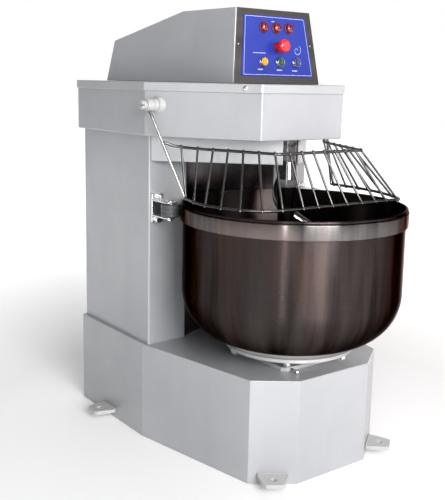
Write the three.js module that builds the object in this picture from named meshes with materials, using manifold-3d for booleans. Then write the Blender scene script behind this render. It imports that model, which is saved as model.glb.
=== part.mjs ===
// Spiral dough mixer: floor-standing cabinet, turning bowl, spiral hook, breaker bar and swing-up wire guard.
// Millimetres, Z up. The front of the machine faces -Y and its plane of symmetry is X = 0.
// The dimensions below are taken from the bowl's axis; OFFSET_Y then moves the machine so that the
// origin lies under the centre of its bounding box, on the floor.
import * as THREE from 'three';
import Module from 'manifold-3d';

// ---- driving dimensions -------------------------------------------------------------------------
const OFFSET_Y = -200.75;            // bowl axis -> origin of the part
const GAP = 0.3;                     // clearance between pieces that touch
const SHEET = 4;                     // cabinet sheet

// base cabinet
const BASE_TOP = 323.6, BASE_REAR = 755, BASE_HALF = 346.6, BASE_BEND_Y = 332.6;
const BASE_SHOULDER_HALF = 262, BASE_SHOULDER_Y = -130, BASE_NOSE_HALF = 142, BASE_NOSE_Y = -216;
// column
const COL_HALF = 333.8, COL_FRONT = 316, COL_REAR = 750, COL_TOP = 1007;
const RECESS_R = 372, RECESS_TOP = 928;
// head and lid
const HEAD_HALF = 359.7, HEAD_REAR = 748, HEAD_BEND_Y = 299.7, HEAD_NOSE_HALF = 164.2, HEAD_NOSE_Y = -30.4;
const HEAD_BOT = 1007.3, HEAD_WALL_TOP = 1169, LID_EDGE = 1146.5, LID_TOP = 1173.4, LID_PROUD = 4.5;
// control hood on the lid
const HOOD_FRONT_Y = 92.5, HOOD_FRONT_HALF = 174.7, HOOD_LEAN_Y = 27.8, HOOD_H = 226, HOOD_REAR_HALF = 252;
const HOOD_SIDE_LEAN = 0.1283, HOOD_REAR_Y = 735, HOOD_SHEET = 2.5, BEZEL_T = 3;
// bowl
const BOWL_R = 346, BOWL_T = 3.5, BOWL_FLOOR = 384, BOWL_CORNER = 160, BOWL_RIM = 811;
const BAND_R = 353.5, BAND_BOT = 757, BAND_TOP = 802;
// turntable and its bearing
const TABLE_R = 205, TABLE_TOP = 371, TABLE_BOT = 357, SHAFT_R = 30, BOLT_CIRCLE = 191.5;
const PLATE_HALF = 137, PLATE_TOP = 337;
// spiral and breaker bar
const BAR_X = -9, BAR_Y = 25, BAR_R = 26, BAR_FLARE_R = 33, BAR_TIP = 404;
const SPIRAL_X = 118, SPIRAL_Y = 155, SPIRAL_SHAFT_R = 25, SPIRAL_ROD_R = 20, SPIRAL_ORBIT = 118;
// guard
const HINGE_Y = 263, HINGE_Z = 1104, RING_WIRE = 4.5, BAR_WIRE = 3.4, ROD_WIRE = 5;
// guide rollers on the bowl's band
const ROLLER_X = 306.5, ROLLER_Y = 232, ROLLER_R = 30.5, ROLLER_BOT = 760, ROLLER_TOP = 800;

// ---- boolean helpers ----------------------------------------------------------------------------
const wasm = await Module();
wasm.setup();

function weld(geometry) {
  const g = geometry.index ? geometry.toNonIndexed() : geometry;
  const src = g.attributes.position.array;
  const map = new Map(), verts = [], tris = [];
  const ids = [];
  for (let i = 0; i < src.length; i += 3) {
    const key = `${Math.round(src[i] * 1e4)},${Math.round(src[i + 1] * 1e4)},${Math.round(src[i + 2] * 1e4)}`;
    let id = map.get(key);
    if (id === undefined) { id = verts.length / 3; map.set(key, id); verts.push(src[i], src[i + 1], src[i + 2]); }
    ids.push(id);
  }
  for (let i = 0; i < ids.length; i += 3) {
    const [a, b, c] = [ids[i], ids[i + 1], ids[i + 2]];
    if (a !== b && b !== c && a !== c) tris.push(a, b, c);
  }
  return { verts: new Float32Array(verts), tris: new Uint32Array(tris) };
}
function solid(geometry) {
  const { verts, tris } = weld(geometry);
  const mesh = new wasm.Mesh({ numProp: 3, vertProperties: verts, triVerts: tris });
  mesh.merge();
  return new wasm.Manifold(mesh);
}
function toGeometry(man) {
  const m = man.getMesh();
  const np = m.numProp, n = m.vertProperties.length / np, pos = new Float32Array(n * 3);
  for (let i = 0; i < n; i++) for (let k = 0; k < 3; k++) pos[i * 3 + k] = m.vertProperties[i * np + k];
  const g = new THREE.BufferGeometry();
  g.setAttribute('position', new THREE.BufferAttribute(pos, 3));
  g.setIndex(new THREE.BufferAttribute(new Uint32Array(m.triVerts), 1));
  g.computeVertexNormals();
  return g;
}
const join = (...parts) => parts.reduce((a, b) => a.add(b));
const cut = (a, ...parts) => parts.reduce((x, b) => x.subtract(b), a);

// ---- shape helpers ------------------------------------------------------------------------------
function shapeOf(points) {
  const s = new THREE.Shape();
  points.forEach(([x, y], i) => (i ? s.lineTo(x, y) : s.moveTo(x, y)));
  s.closePath();
  return s;
}
// prism over a plan outline, from z0 to z1
function prism(points, z0, z1) {
  const g = new THREE.ExtrudeGeometry(shapeOf(points), { depth: z1 - z0, bevelEnabled: false, steps: 1 });
  g.translate(0, 0, z0);
  return solid(g);
}
// prism over a (Y, Z) outline, from x0 to x1
function prismX(points, x0, x1) {
  const g = new THREE.ExtrudeGeometry(shapeOf(points), { depth: x1 - x0, bevelEnabled: false, steps: 1 });
  g.applyMatrix4(new THREE.Matrix4().makeBasis(new THREE.Vector3(0, 1, 0), new THREE.Vector3(0, 0, 1), new THREE.Vector3(1, 0, 0)));
  g.translate(x0, 0, 0);
  return solid(g);
}
function block(x0, x1, y0, y1, z0, z1) {
  const g = new THREE.BoxGeometry(x1 - x0, y1 - y0, z1 - z0);
  g.translate((x0 + x1) / 2, (y0 + y1) / 2, (z0 + z1) / 2);
  return solid(g);
}
// cylinder between two points
function rod(a, b, r, n = 16, r2 = r) {
  const A = new THREE.Vector3(...a), B = new THREE.Vector3(...b), d = B.clone().sub(A);
  const g = new THREE.CylinderGeometry(r2, r, d.length(), n, 1);
  g.translate(0, d.length() / 2, 0);
  g.applyQuaternion(new THREE.Quaternion().setFromUnitVectors(new THREE.Vector3(0, 1, 0), d.normalize()));
  g.translate(...a);
  return solid(g);
}
const drum = (x, y, z0, z1, r, n = 32) => rod([x, y, z0], [x, y, z1], r, n);
// ring or disc turned about a vertical axis through (x, y); the profile is a closed list of [radius, z]
function turned(profile, n = 48, x = 0, y = 0) {
  const pts = profile.map(([r, z]) => new THREE.Vector2(Math.max(r, 0), z));
  if (profile[0][0] > 1e-6 || profile[profile.length - 1][0] > 1e-6) pts.push(pts[0].clone());
  const g = new THREE.LatheGeometry(pts, n);
  g.rotateX(Math.PI / 2);
  g.translate(x, y, 0);
  const m = solid(g);
  return m.volume() < 0 ? solid(flip(g)) : m;
}
function flip(g) {
  const h = g.index ? g.toNonIndexed() : g.clone();
  const p = h.attributes.position.array;
  for (let i = 0; i < p.length; i += 9) for (let k = 0; k < 3; k++) { const t = p[i + 3 + k]; p[i + 3 + k] = p[i + 6 + k]; p[i + 6 + k] = t; }
  return h;
}
function ball(x, y, z, r, w = 16, h = 10) {
  const g = new THREE.SphereGeometry(r, w, h);
  g.translate(x, y, z);
  return solid(g);
}
// wire of radius r along a list of points
function wire(points, r, n, steps, tension = 0.5) {
  const path = new THREE.CatmullRomCurve3(points.map((p) => new THREE.Vector3(...p)), false, 'centripetal', tension);
  const ring = [];
  for (let i = 0; i < n; i++) ring.push([r * Math.cos((2 * Math.PI * i) / n), r * Math.sin((2 * Math.PI * i) / n)]);
  const g = new THREE.ExtrudeGeometry(shapeOf(ring), { steps, extrudePath: path, bevelEnabled: false });
  const m = solid(g);
  return m.volume() < 0 ? solid(flip(g)) : m;
}
// convex outline moved inwards (d > 0) or outwards (d < 0)
function inset(points, d) {
  const n = points.length;
  let area = 0;
  for (let i = 0; i < n; i++) { const [x0, y0] = points[i], [x1, y1] = points[(i + 1) % n]; area += x0 * y1 - x1 * y0; }
  const s = area > 0 ? 1 : -1;
  const lines = points.map(([x0, y0], i) => {
    const [x1, y1] = points[(i + 1) % n];
    const l = Math.hypot(x1 - x0, y1 - y0), nx = (-(y1 - y0) / l) * s, ny = ((x1 - x0) / l) * s;
    return { nx, ny, c: nx * x0 + ny * y0 + d };
  });
  return points.map((_, i) => {
    const a = lines[(i + n - 1) % n], b = lines[i], det = a.nx * b.ny - a.ny * b.nx;
    return [(a.c * b.ny - b.c * a.ny) / det, (a.nx * b.c - b.nx * a.c) / det];
  });
}
const mirror = (pts) => [...pts, ...pts.map(([x, y]) => [-x, y]).reverse()];
const flipX = (m) => m.mirror([1, 0, 0]);

// ---- the assembly -------------------------------------------------------------------------------
const root = new THREE.Group();
root.name = 'spiral_dough_mixer';
function add(name, man, color, metalness = 0, roughness = 0.5) {
  const g = toGeometry(man.translate([0, OFFSET_Y, 0]));
  const mesh = new THREE.Mesh(g, new THREE.MeshStandardMaterial({ color, metalness, roughness }));
  mesh.name = name;
  root.add(mesh);
}
const PAINT = 0xb4b6ba, WHITE = 0xdadadb, STEEL = 0x9a9895, DARK = 0x5b5552, CHROME = 0xc8c8c8;

// base cabinet: a folded sheet box, open underneath, with a deck
const basePlan = mirror([[-BASE_HALF, BASE_REAR], [-BASE_HALF, BASE_BEND_Y], [-BASE_SHOULDER_HALF, BASE_SHOULDER_Y], [-BASE_NOSE_HALF, BASE_NOSE_Y]]);
add('base_cabinet', cut(prism(basePlan, 0, BASE_TOP), prism(inset(basePlan, SHEET), -1, BASE_TOP - SHEET), drum(0, 0, 300, 330, 60.7, 24)), PAINT, 0.2, 0.45);

// floor lugs
function lug(mx, my, nx, ny) {
  const tx = -ny, ty = nx, at = (s, o) => [mx + tx * s + nx * o, my + ty * s + ny * o];
  const plan = [at(-46, GAP), at(46, GAP), at(46, 18), at(32, 66), at(24, 74), at(-24, 74), at(-32, 66), at(-46, 18)];
  const c = at(0, 42);
  let pts = plan, area = 0;
  for (let i = 0; i < pts.length; i++) { const [x0, y0] = pts[i], [x1, y1] = pts[(i + 1) % pts.length]; area += x0 * y1 - x1 * y0; }
  if (area < 0) pts = [...pts].reverse();
  return cut(prism(pts, 22, 35), drum(c[0], c[1], 20, 37, 9, 20));
}
{
  const dx = BASE_SHOULDER_HALF - BASE_NOSE_HALF, dy = BASE_NOSE_Y - BASE_SHOULDER_Y, l = Math.hypot(dx, dy);
  const mx = -(BASE_SHOULDER_HALF + BASE_NOSE_HALF) / 2, my = (BASE_SHOULDER_Y + BASE_NOSE_Y) / 2;
  const f = lug(mx, my, dy / l, -dx / l);
  add('floor_lug_front_left', f, WHITE, 0.2, 0.45);
  add('floor_lug_front_right', flipX(f), WHITE, 0.2, 0.45);
  const r = lug(-BASE_HALF, 553, -1, 0);
  add('floor_lug_rear_left', r, WHITE, 0.2, 0.45);
  add('floor_lug_rear_right', flipX(r), WHITE, 0.2, 0.45);
}

// column: hollow, its front scooped out round the bowl
const colPlan = [[-COL_HALF, COL_FRONT], [COL_HALF, COL_FRONT], [COL_HALF, COL_REAR], [-COL_HALF, COL_REAR]];
{
  const outer = cut(prism(colPlan, BASE_TOP + GAP, COL_TOP), drum(0, 0, 300, RECESS_TOP, RECESS_R, 56));
  const inner = cut(prism(inset(colPlan, SHEET), 300, COL_TOP + 10), drum(0, 0, 290, RECESS_TOP + SHEET, RECESS_R + SHEET, 56));
  add('column_cabinet', cut(outer, inner), PAINT, 0.2, 0.45);
  const liner = cut(drum(0, 0, 327, 925, RECESS_R - 0.9, 56), drum(0, 0, 320, 930, RECESS_R - 2.9, 56), block(-500, 500, -500, COL_FRONT + 4, 300, 950));
  add('recess_liner', liner, DARK, 0.9, 0.25);
  const panel = inset([[-296, 374], [296, 374], [296, 956], [-296, 956]], 0);
  add('column_rear_panel', prismY(panel, COL_REAR + GAP, COL_REAR + 2.6), PAINT, 0.2, 0.45);
}
function prismY(points, y0, y1) {
  const g = new THREE.ExtrudeGeometry(shapeOf(points), { depth: y1 - y0, bevelEnabled: false, steps: 1 });
  g.applyMatrix4(new THREE.Matrix4().makeBasis(new THREE.Vector3(1, 0, 0), new THREE.Vector3(0, 0, 1), new THREE.Vector3(0, -1, 0)));
  g.translate(0, y1, 0);
  return solid(g);
}

// head: folded box with an open top, closed by the lid
const headPlan = mirror([[-HEAD_HALF, HEAD_REAR], [-HEAD_HALF, HEAD_BEND_Y], [-HEAD_NOSE_HALF, HEAD_NOSE_Y]]);
const MOTOR1 = [70, 600], MOTOR2 = [0, 470];
add('head_box', cut(prism(headPlan, HEAD_BOT, HEAD_WALL_TOP), prism(inset(headPlan, SHEET), HEAD_BOT + SHEET, HEAD_WALL_TOP + 5),
  drum(SPIRAL_X, SPIRAL_Y, 990, 1030, 34.6, 24), drum(BAR_X, BAR_Y, 990, 1030, BAR_R + 0.4, 24), drum(...MOTOR1, 990, 1030, 30, 16),
  block(-250, -60, 430, 690, 990, 1030)), PAINT, 0.2, 0.45);
add('head_lid', cut(prism(inset(headPlan, -LID_PROUD), LID_EDGE, LID_TOP), prism(inset(headPlan, -0.4), LID_EDGE - 5, LID_TOP - 3),
  block(-120, 120, 240, 640, 1160, 1180)), WHITE, 0.2, 0.42);

// housing under the head: two side plates running from the breaker bar back to the column's corners, and a floor
{
  const nose = 27.6, k = 0.99;
  const side = (x) => 8 + (x - nose) * k;         // y of the side plate at |x|
  const plan = [[-330, COL_FRONT - GAP], [-330, side(330)], [-nose, side(nose)], [nose, side(nose)], [330, side(330)], [330, COL_FRONT - GAP]];
  const inner = inset(plan, SHEET);
  add('under_head_housing', cut(prism(plan, RECESS_TOP, HEAD_BOT - GAP), prism(inner, RECESS_TOP + SHEET, HEAD_BOT + 5),
    drum(SPIRAL_X, SPIRAL_Y, 900, 950, 34.6, 24), block(BAR_X - nose, BAR_X + nose, -20, BAR_Y, 900, 1010), drum(BAR_X, BAR_Y, 900, 1010, nose, 24)), WHITE, 0.2, 0.42);
}

// spiral bearing housing
add('spiral_bearing_housing', turned([[25.4, 917], [41, 917], [41, RECESS_TOP - GAP], [34, RECESS_TOP - GAP], [34, 1034], [25.4, 1034]], 24, SPIRAL_X, SPIRAL_Y), STEEL, 0.8, 0.35);

// breaker bar: polished post with a swollen shoulder, tapered towards its tip, with a collar inside the head
add('breaker_bar', turned([[0, BAR_TIP], [14, BAR_TIP], [20, BAR_TIP + 6], [22, BAR_TIP + 60], [25, 700], [27, 800], [BAR_FLARE_R - 1.5, 850], [BAR_FLARE_R, 872], [BAR_FLARE_R - 1.5, 892], [BAR_R + 1, 930], [BAR_R, 950], [BAR_R, HEAD_BOT + SHEET + GAP], [40, HEAD_BOT + SHEET + GAP], [40, 1026], [0, 1026]], 24, BAR_X, BAR_Y), DARK, 0.9, 0.2);

// spiral hook: shaft, shoulder and a helical arm that widens out to its orbit
{
  const pts = [], N = 40, z0 = 900, z1 = 419, turns = 1.42, start = (95 * Math.PI) / 180;
  // the arm's orbit narrows near the bottom, so that it clears the bowl's rounded lower corner as it turns
  const reach = Math.hypot(SPIRAL_X, SPIRAL_Y), corner = BOWL_CORNER - BOWL_T - SPIRAL_ROD_R - 5;
  for (let i = 0; i <= N; i++) {
    const t = i / N;
    const z = z0 + (z1 - z0) * Math.pow(t, 0.92);
    const rise = Math.max(0, BOWL_FLOOR + BOWL_CORNER - z);
    const room = BOWL_R - BOWL_CORNER + Math.sqrt(Math.max(0, corner * corner - rise * rise)) - reach;
    const r = Math.min(SPIRAL_ORBIT * Math.min(1, Math.pow(t / 0.5, 0.85)), room);
    const a = start + 2 * Math.PI * turns * t;
    pts.push([SPIRAL_X + r * Math.cos(a), SPIRAL_Y + r * Math.sin(a), z]);
  }
  pts.unshift([SPIRAL_X, SPIRAL_Y, 930]);
  const arm = wire(pts, SPIRAL_ROD_R, 8, 46);
  const end = pts[pts.length - 1];
  const hook = join(arm, ball(...end, SPIRAL_ROD_R, 10, 6), drum(SPIRAL_X, SPIRAL_Y, 890, 1098, SPIRAL_SHAFT_R, 24), ball(SPIRAL_X, SPIRAL_Y, 890, SPIRAL_SHAFT_R, 24, 8));
  add('spiral_hook', hook, DARK, 0.9, 0.2);
}

// drive in the head: pulleys, belt and motor
const PUL_Z0 = 1058, PUL_Z1 = 1088;
const groove = (r0, bore, z0, z1) => [[bore, z0], [r0 + 5, z0], [r0, z0 + 4.5], [r0, z1 - 4.5], [r0 + 5, z1], [bore, z1]];
add('spiral_pulley', turned(groove(105, 25.4, PUL_Z0, PUL_Z1), 24, SPIRAL_X, SPIRAL_Y), STEEL, 0.6, 0.5);
add('spiral_motor_pulley', turned(groove(42, 12.6, PUL_Z0, PUL_Z1), 16, ...MOTOR1), STEEL, 0.6, 0.5);
add('spiral_motor', turned([[0, 740], [94, 740], [94, 990], [112, 990], [112, HEAD_BOT - GAP], [28, HEAD_BOT - GAP], [12, 1012], [12, 1087], [0, 1087]], 16, ...MOTOR1), 0x6f7c86, 0.3, 0.5);
function beltPlan([ax, ay], ra, [bx, by], rb, n = 12) {
  const d = Math.hypot(bx - ax, by - ay), base = Math.atan2(by - ay, bx - ax), phi = Math.acos((ra - rb) / d), pts = [];
  for (let i = 0; i <= n; i++) { const a = base + phi + ((2 * Math.PI - 2 * phi) * i) / n; pts.push([ax + ra * Math.cos(a), ay + ra * Math.sin(a)]); }
  for (let i = 0; i <= n; i++) { const a = base - phi + (2 * phi * i) / n; pts.push([bx + rb * Math.cos(a), by + rb * Math.sin(a)]); }
  return pts;
}
const beltRing = (a, ra, b, rb, z0, z1) => cut(prism(beltPlan(a, ra + 8, b, rb + 8), z0, z1), prism(beltPlan(a, ra + 2.6, b, rb + 2.6), z0 - 1, z1 + 1));
add('spiral_belt', beltRing([SPIRAL_X, SPIRAL_Y], 105, MOTOR1, 42, PUL_Z0 + 6, PUL_Z1 - 6), 0x26262a, 0, 0.8);

// bowl drive in the base
const BP0 = 236, BP1 = 266;
add('bowl_bearing_housing', cut(join(prism(
  [[-PLATE_HALF + 16, -PLATE_HALF], [PLATE_HALF - 16, -PLATE_HALF], [PLATE_HALF, -PLATE_HALF + 16], [PLATE_HALF, PLATE_HALF - 16], [PLATE_HALF - 16, PLATE_HALF], [-PLATE_HALF + 16, PLATE_HALF], [-PLATE_HALF, PLATE_HALF - 16], [-PLATE_HALF, -PLATE_HALF + 16]], BASE_TOP + GAP, PLATE_TOP),
  drum(0, 0, 271, PLATE_TOP, 60, 24), drum(0, 0, PLATE_TOP - 1, 350, 76, 24)), drum(0, 0, 260, 360, SHAFT_R + 0.4, 24)), STEEL, 0.5, 0.5);
add('bearing_grease_pin', join(rod([-112, -PLATE_HALF - GAP, 330.5], [-112, -164, 330.5], 4.5, 12), rod([-112, -164, 330.5], [-112, -173, 330.5], 6, 12)), CHROME, 0.9, 0.25);
add('bowl_pulley', turned(groove(150, SHAFT_R + 0.4, BP0, BP1), 24), STEEL, 0.6, 0.5);
add('bowl_motor_pulley', turned(groove(42, 12.6, BP0, BP1), 16, ...MOTOR2), STEEL, 0.6, 0.5);
add('bowl_motor', join(turned([[0, 36], [90, 36], [90, 212], [0, 212]], 16, ...MOTOR2), block(-342, 342, MOTOR2[1] - 60, MOTOR2[1] + 60, 208, 216), turned([[0, 215], [28, 215], [12, 222], [12, 265], [0, 265]], 16, ...MOTOR2)), 0x6f7c86, 0.3, 0.5);
add('bowl_belt', beltRing([0, 0], 150, MOTOR2, 42, BP0 + 6, BP1 - 6), 0x26262a, 0, 0.8);

// turntable: disc with its shaft; the bowl is bolted on it
add('turntable', join(turned([[0, TABLE_BOT], [TABLE_R - 3, TABLE_BOT], [TABLE_R, TABLE_BOT + 3], [TABLE_R, TABLE_TOP], [0, TABLE_TOP]], 40), drum(0, 0, 235, TABLE_BOT + 1, SHAFT_R, 24)), STEEL, 0.5, 0.45);

// bowl: spun shell with a rolled rim and a foot ring, and the stiffening band round its top
{
  const zc = BOWL_FLOOR + BOWL_CORNER, rc = BOWL_R - BOWL_CORNER;
  const out = [[0, BOWL_FLOOR]];
  for (let i = 0; i <= 6; i++) { const a = -Math.PI / 2 + ((Math.PI / 2) * i) / 6; out.push([rc + BOWL_CORNER * Math.cos(a), zc + BOWL_CORNER * Math.sin(a)]); }
  out.push([BOWL_R, 803.2]);
  // rolled rim
  for (let i = 0; i <= 4; i++) { const a = -Math.PI * 0.32 + (Math.PI * 1.1 * i) / 4; out.push([BOWL_R + 0.6 + 4.2 * Math.cos(a), 806.9 + 4.2 * Math.sin(a)]); }
  const inn = [[BOWL_R - BOWL_T, 803], [BOWL_R - BOWL_T, zc]];
  for (let i = 5; i >= 0; i--) { const a = -Math.PI / 2 + ((Math.PI / 2) * i) / 6; inn.push([rc + (BOWL_CORNER - BOWL_T) * Math.cos(a), zc + (BOWL_CORNER - BOWL_T) * Math.sin(a)]); }
  inn.push([0, BOWL_FLOOR + BOWL_T]);
  // shell with the foot ring welded under it
  add('bowl_shell', join(turned([...out, ...inn], 48), turned([[150, TABLE_TOP + GAP], [213, TABLE_TOP + GAP], [213, BOWL_FLOOR + 2.5], [150, BOWL_FLOOR + 2.5]], 48)), STEEL, 0.95, 0.15);

  add('bowl_rim_band', turned([[BOWL_R + 0.4, BAND_BOT], [BAND_R, BAND_BOT], [BAND_R, BAND_TOP - 1.5], [BAND_R - 1.5, BAND_TOP], [BOWL_R + 0.4, BAND_TOP]], 48), STEEL, 0.95, 0.2);
}
// six bolts hanging from the turntable: washer, hex nut and stud end
for (let i = 0; i < 6; i++) {
  const a = ((47 + 60 * i) * Math.PI) / 180, x = BOLT_CIRCLE * Math.cos(a), y = BOLT_CIRCLE * Math.sin(a);
  add(`bowl_bolt_${i + 1}`, join(drum(x, y, TABLE_BOT - 2.4, TABLE_BOT - GAP, 13, 12), rod([x, y, 344], [x, y, TABLE_BOT - 2], 11, 6), drum(x, y, 339.6, 345, 5.5, 8)), CHROME, 0.9, 0.25);
}

// guide rollers and their brackets
{
  const x = -ROLLER_X, y = ROLLER_Y;
  const fork = (z0, z1) => join(prism([[-329, COL_FRONT - 11], [-329, y], [x - 16, y - 14], [x + 16, y - 14], [x + 20, y + 10], [-286, COL_FRONT - 11]].reverse(), z0, z1));
  const bracket = join(block(-329, -286, COL_FRONT - 12, COL_FRONT - GAP, 732, 824), fork(ROLLER_TOP + 2, ROLLER_TOP + 7), fork(ROLLER_BOT - 7, ROLLER_BOT - 2),
    drum(x, y, ROLLER_BOT - 3, ROLLER_TOP + 3, 8, 16), rod([x, y, ROLLER_TOP + 6], [x, y, ROLLER_TOP + 12], 9, 16, 6), rod([x, y, ROLLER_BOT - 14], [x, y, ROLLER_BOT - 6], 10, 6),
    rod([-305, COL_FRONT - 22, 815], [-305, COL_FRONT - 8, 815], 8, 14), rod([-308, COL_FRONT - 22, 741], [-308, COL_FRONT - 8, 741], 13, 16));
  add('roller_bracket_left', bracket, CHROME, 0.7, 0.35);
  add('roller_bracket_right', flipX(bracket), CHROME, 0.7, 0.35);
  const roller = turned([[8.4, ROLLER_BOT], [ROLLER_R - 3, ROLLER_BOT], [ROLLER_R, ROLLER_BOT + 3], [ROLLER_R, ROLLER_TOP - 3], [ROLLER_R - 3, ROLLER_TOP], [8.4, ROLLER_TOP]], 24, x, y);
  add('guide_roller_left', roller, 0x3c3d3f, 0.1, 0.5);
  add('guide_roller_right', flipX(roller), 0x3c3d3f, 0.1, 0.5);
}

// guard pivots: boss welded on the head, slotted pin through the guard's hub
{
  const boss = cut(join(rod([-300, HINGE_Y, HINGE_Z], [-356, HINGE_Y, HINGE_Z], 19, 20), rod([-300, HINGE_Y, HINGE_Z], [-343, HINGE_Y, HINGE_Z], 26, 20)), prism(inset(headPlan, -0.3), 1000, 1180), rod([-290, HINGE_Y, HINGE_Z], [-360, HINGE_Y, HINGE_Z], 9.4, 16));
  add('guard_boss_left', boss, WHITE, 0.2, 0.45);
  add('guard_boss_right', flipX(boss), WHITE, 0.2, 0.45);
  const pin = cut(join(rod([-345, HINGE_Y, HINGE_Z], [-380, HINGE_Y, HINGE_Z], 9, 16), rod([-379.4, HINGE_Y, HINGE_Z], [-398, HINGE_Y, HINGE_Z], 14, 16, 12)), block(-400, -390, HINGE_Y - 20, HINGE_Y + 20, HINGE_Z - 2, HINGE_Z + 2));
  add('guard_pivot_pin_left', pin, WHITE, 0.4, 0.4);
  add('guard_pivot_pin_right', flipX(pin), WHITE, 0.4, 0.4);
}

// guard: swings up about the two pivots
{
  const hubRod = (s) => {
    const A = [s * -367, HINGE_Y - 2, HINGE_Z - 8], B = [s * -308, 150, s > 0 ? 828 : 835];
    return cut(join(rod([s * -356.6, HINGE_Y, HINGE_Z], [s * -378.8, HINGE_Y, HINGE_Z], 18.5, 20), rod(A, B, ROD_WIRE, 8), ball(...B, ROD_WIRE + 0.6, 8, 6)), rod([s * -350, HINGE_Y, HINGE_Z], [s * -385, HINGE_Y, HINGE_Z], 9.4, 16));
  };
  const rodL = hubRod(1), rodR = hubRod(-1);
  add('guard_rod_left', rodL, CHROME, 0.9, 0.25);
  add('guard_rod_right', rodR, CHROME, 0.9, 0.25);
  // ring lines
  const lowL = [[-308, 150, 828], [-325, 80, 826], [-330, 15, 825], [-321, -45, 825], [-296, -108, 825], [-250, -153, 825], [-190, -174, 825]];
  const lowF = [[-190, -174, 825], [-122, -178, 825], [-8, -180, 825], [113, -182, 825], [220, -181, 825], [283, -178, 825]];
  const lowR = [[283, -178, 825], [297, -165, 825], [322, -95, 827], [331, -20, 830], [328, 60, 832], [308, 150, 835]];
  const upL = [[-343, 216, 993], [-322, 204, 985], [-298, 186, 980], [-270, 122, 978], [-232, 35, 978], [-197, -48, 978], [-172, -112, 978]];
  const upF = [[-172, -112, 978], [-165, -116, 978], [-60, -117, 978], [60, -117, 978], [165, -116, 978], [172, -112, 978]];
  const upR = upL.map(([x, y, z]) => [-x, y, z]).reverse();
  const at = (pts, u) => { const c = new THREE.CatmullRomCurve3(pts.map((p) => new THREE.Vector3(...p)), false, 'centripetal'); const v = c.getPointAt(u); return [v.x, v.y, v.z]; };
  const bars = (up, low, list) => list.map(([u, l]) => rod(at(up, u), at(low, l), BAR_WIRE, 5));
  // left: rings with seven bars
  const left = join(wire(lowL, RING_WIRE, 6, 14), wire(upL, RING_WIRE, 6, 10), ...bars(upL, lowL, [[0.145, 0.02], [0.3, 0.19], [0.44, 0.35], [0.575, 0.51], [0.71, 0.67], [0.845, 0.83], [0.985, 0.985]]));
  const front = join(wire(lowF, RING_WIRE, 6, 5), wire(upF, RING_WIRE, 6, 12), ...bars(upF, lowF, [[0.135, 0.145], [0.27, 0.265], [0.4, 0.385], [0.525, 0.51], [0.655, 0.64], [0.78, 0.765], [0.9, 0.865], [0.985, 0.985]]));
  const right = join(wire(lowR, RING_WIRE, 6, 14), wire(upR, RING_WIRE, 6, 10), ...bars(upR, lowR, [[0.16, 0.2], [0.3, 0.36], [0.44, 0.52], [0.58, 0.68], [0.72, 0.83], [0.855, 0.97]]));
  const slot = (p, q, w) => { // thin slab across a ring joint
    const d = new THREE.Vector3(q[0] - p[0], q[1] - p[1], q[2] - p[2]).normalize().multiplyScalar(w / 2);
    return rod([p[0] - d.x, p[1] - d.y, p[2] - d.z], [p[0] + d.x, p[1] + d.y, p[2] + d.z], 14, 12);
  };
  const sLow = slot(lowF[0], lowF[1], 0.6), sUp = slot(upF[0], [upF[0][0] + 8, upF[0][1] - 8, upF[0][2]], 0.6);
  const sLowR = slot(lowR[0], lowR[1], 0.6), sUpR = slot(upR[0], [upR[0][0] + 8, upR[0][1] + 8, upR[0][2]], 0.6);
  const rodZoneL = join(rod([-367, HINGE_Y - 2, HINGE_Z - 8], [-308, 150, 828], ROD_WIRE + 0.5, 8), ball(-308, 150, 828, ROD_WIRE + 1.4, 10, 8));
  const rodZoneR = join(rod([367, HINGE_Y - 2, HINGE_Z - 8], [308, 150, 835], ROD_WIRE + 0.5, 8), ball(308, 150, 835, ROD_WIRE + 1.4, 10, 8));
  const biggest = (m) => m.decompose().sort((a, b) => b.volume() - a.volume())[0];
  add('guard_grille_left', biggest(cut(left, rodZoneL, sLow, sUp)), CHROME, 0.9, 0.25);
  add('guard_grille_right', biggest(cut(right, rodZoneR, sLowR, sUpR)), CHROME, 0.9, 0.25);
  add('guard_grille_front', biggest(cut(front, left, right, sLow, sUp, sLowR, sUpR)), CHROME, 0.9, 0.25);
}

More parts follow.
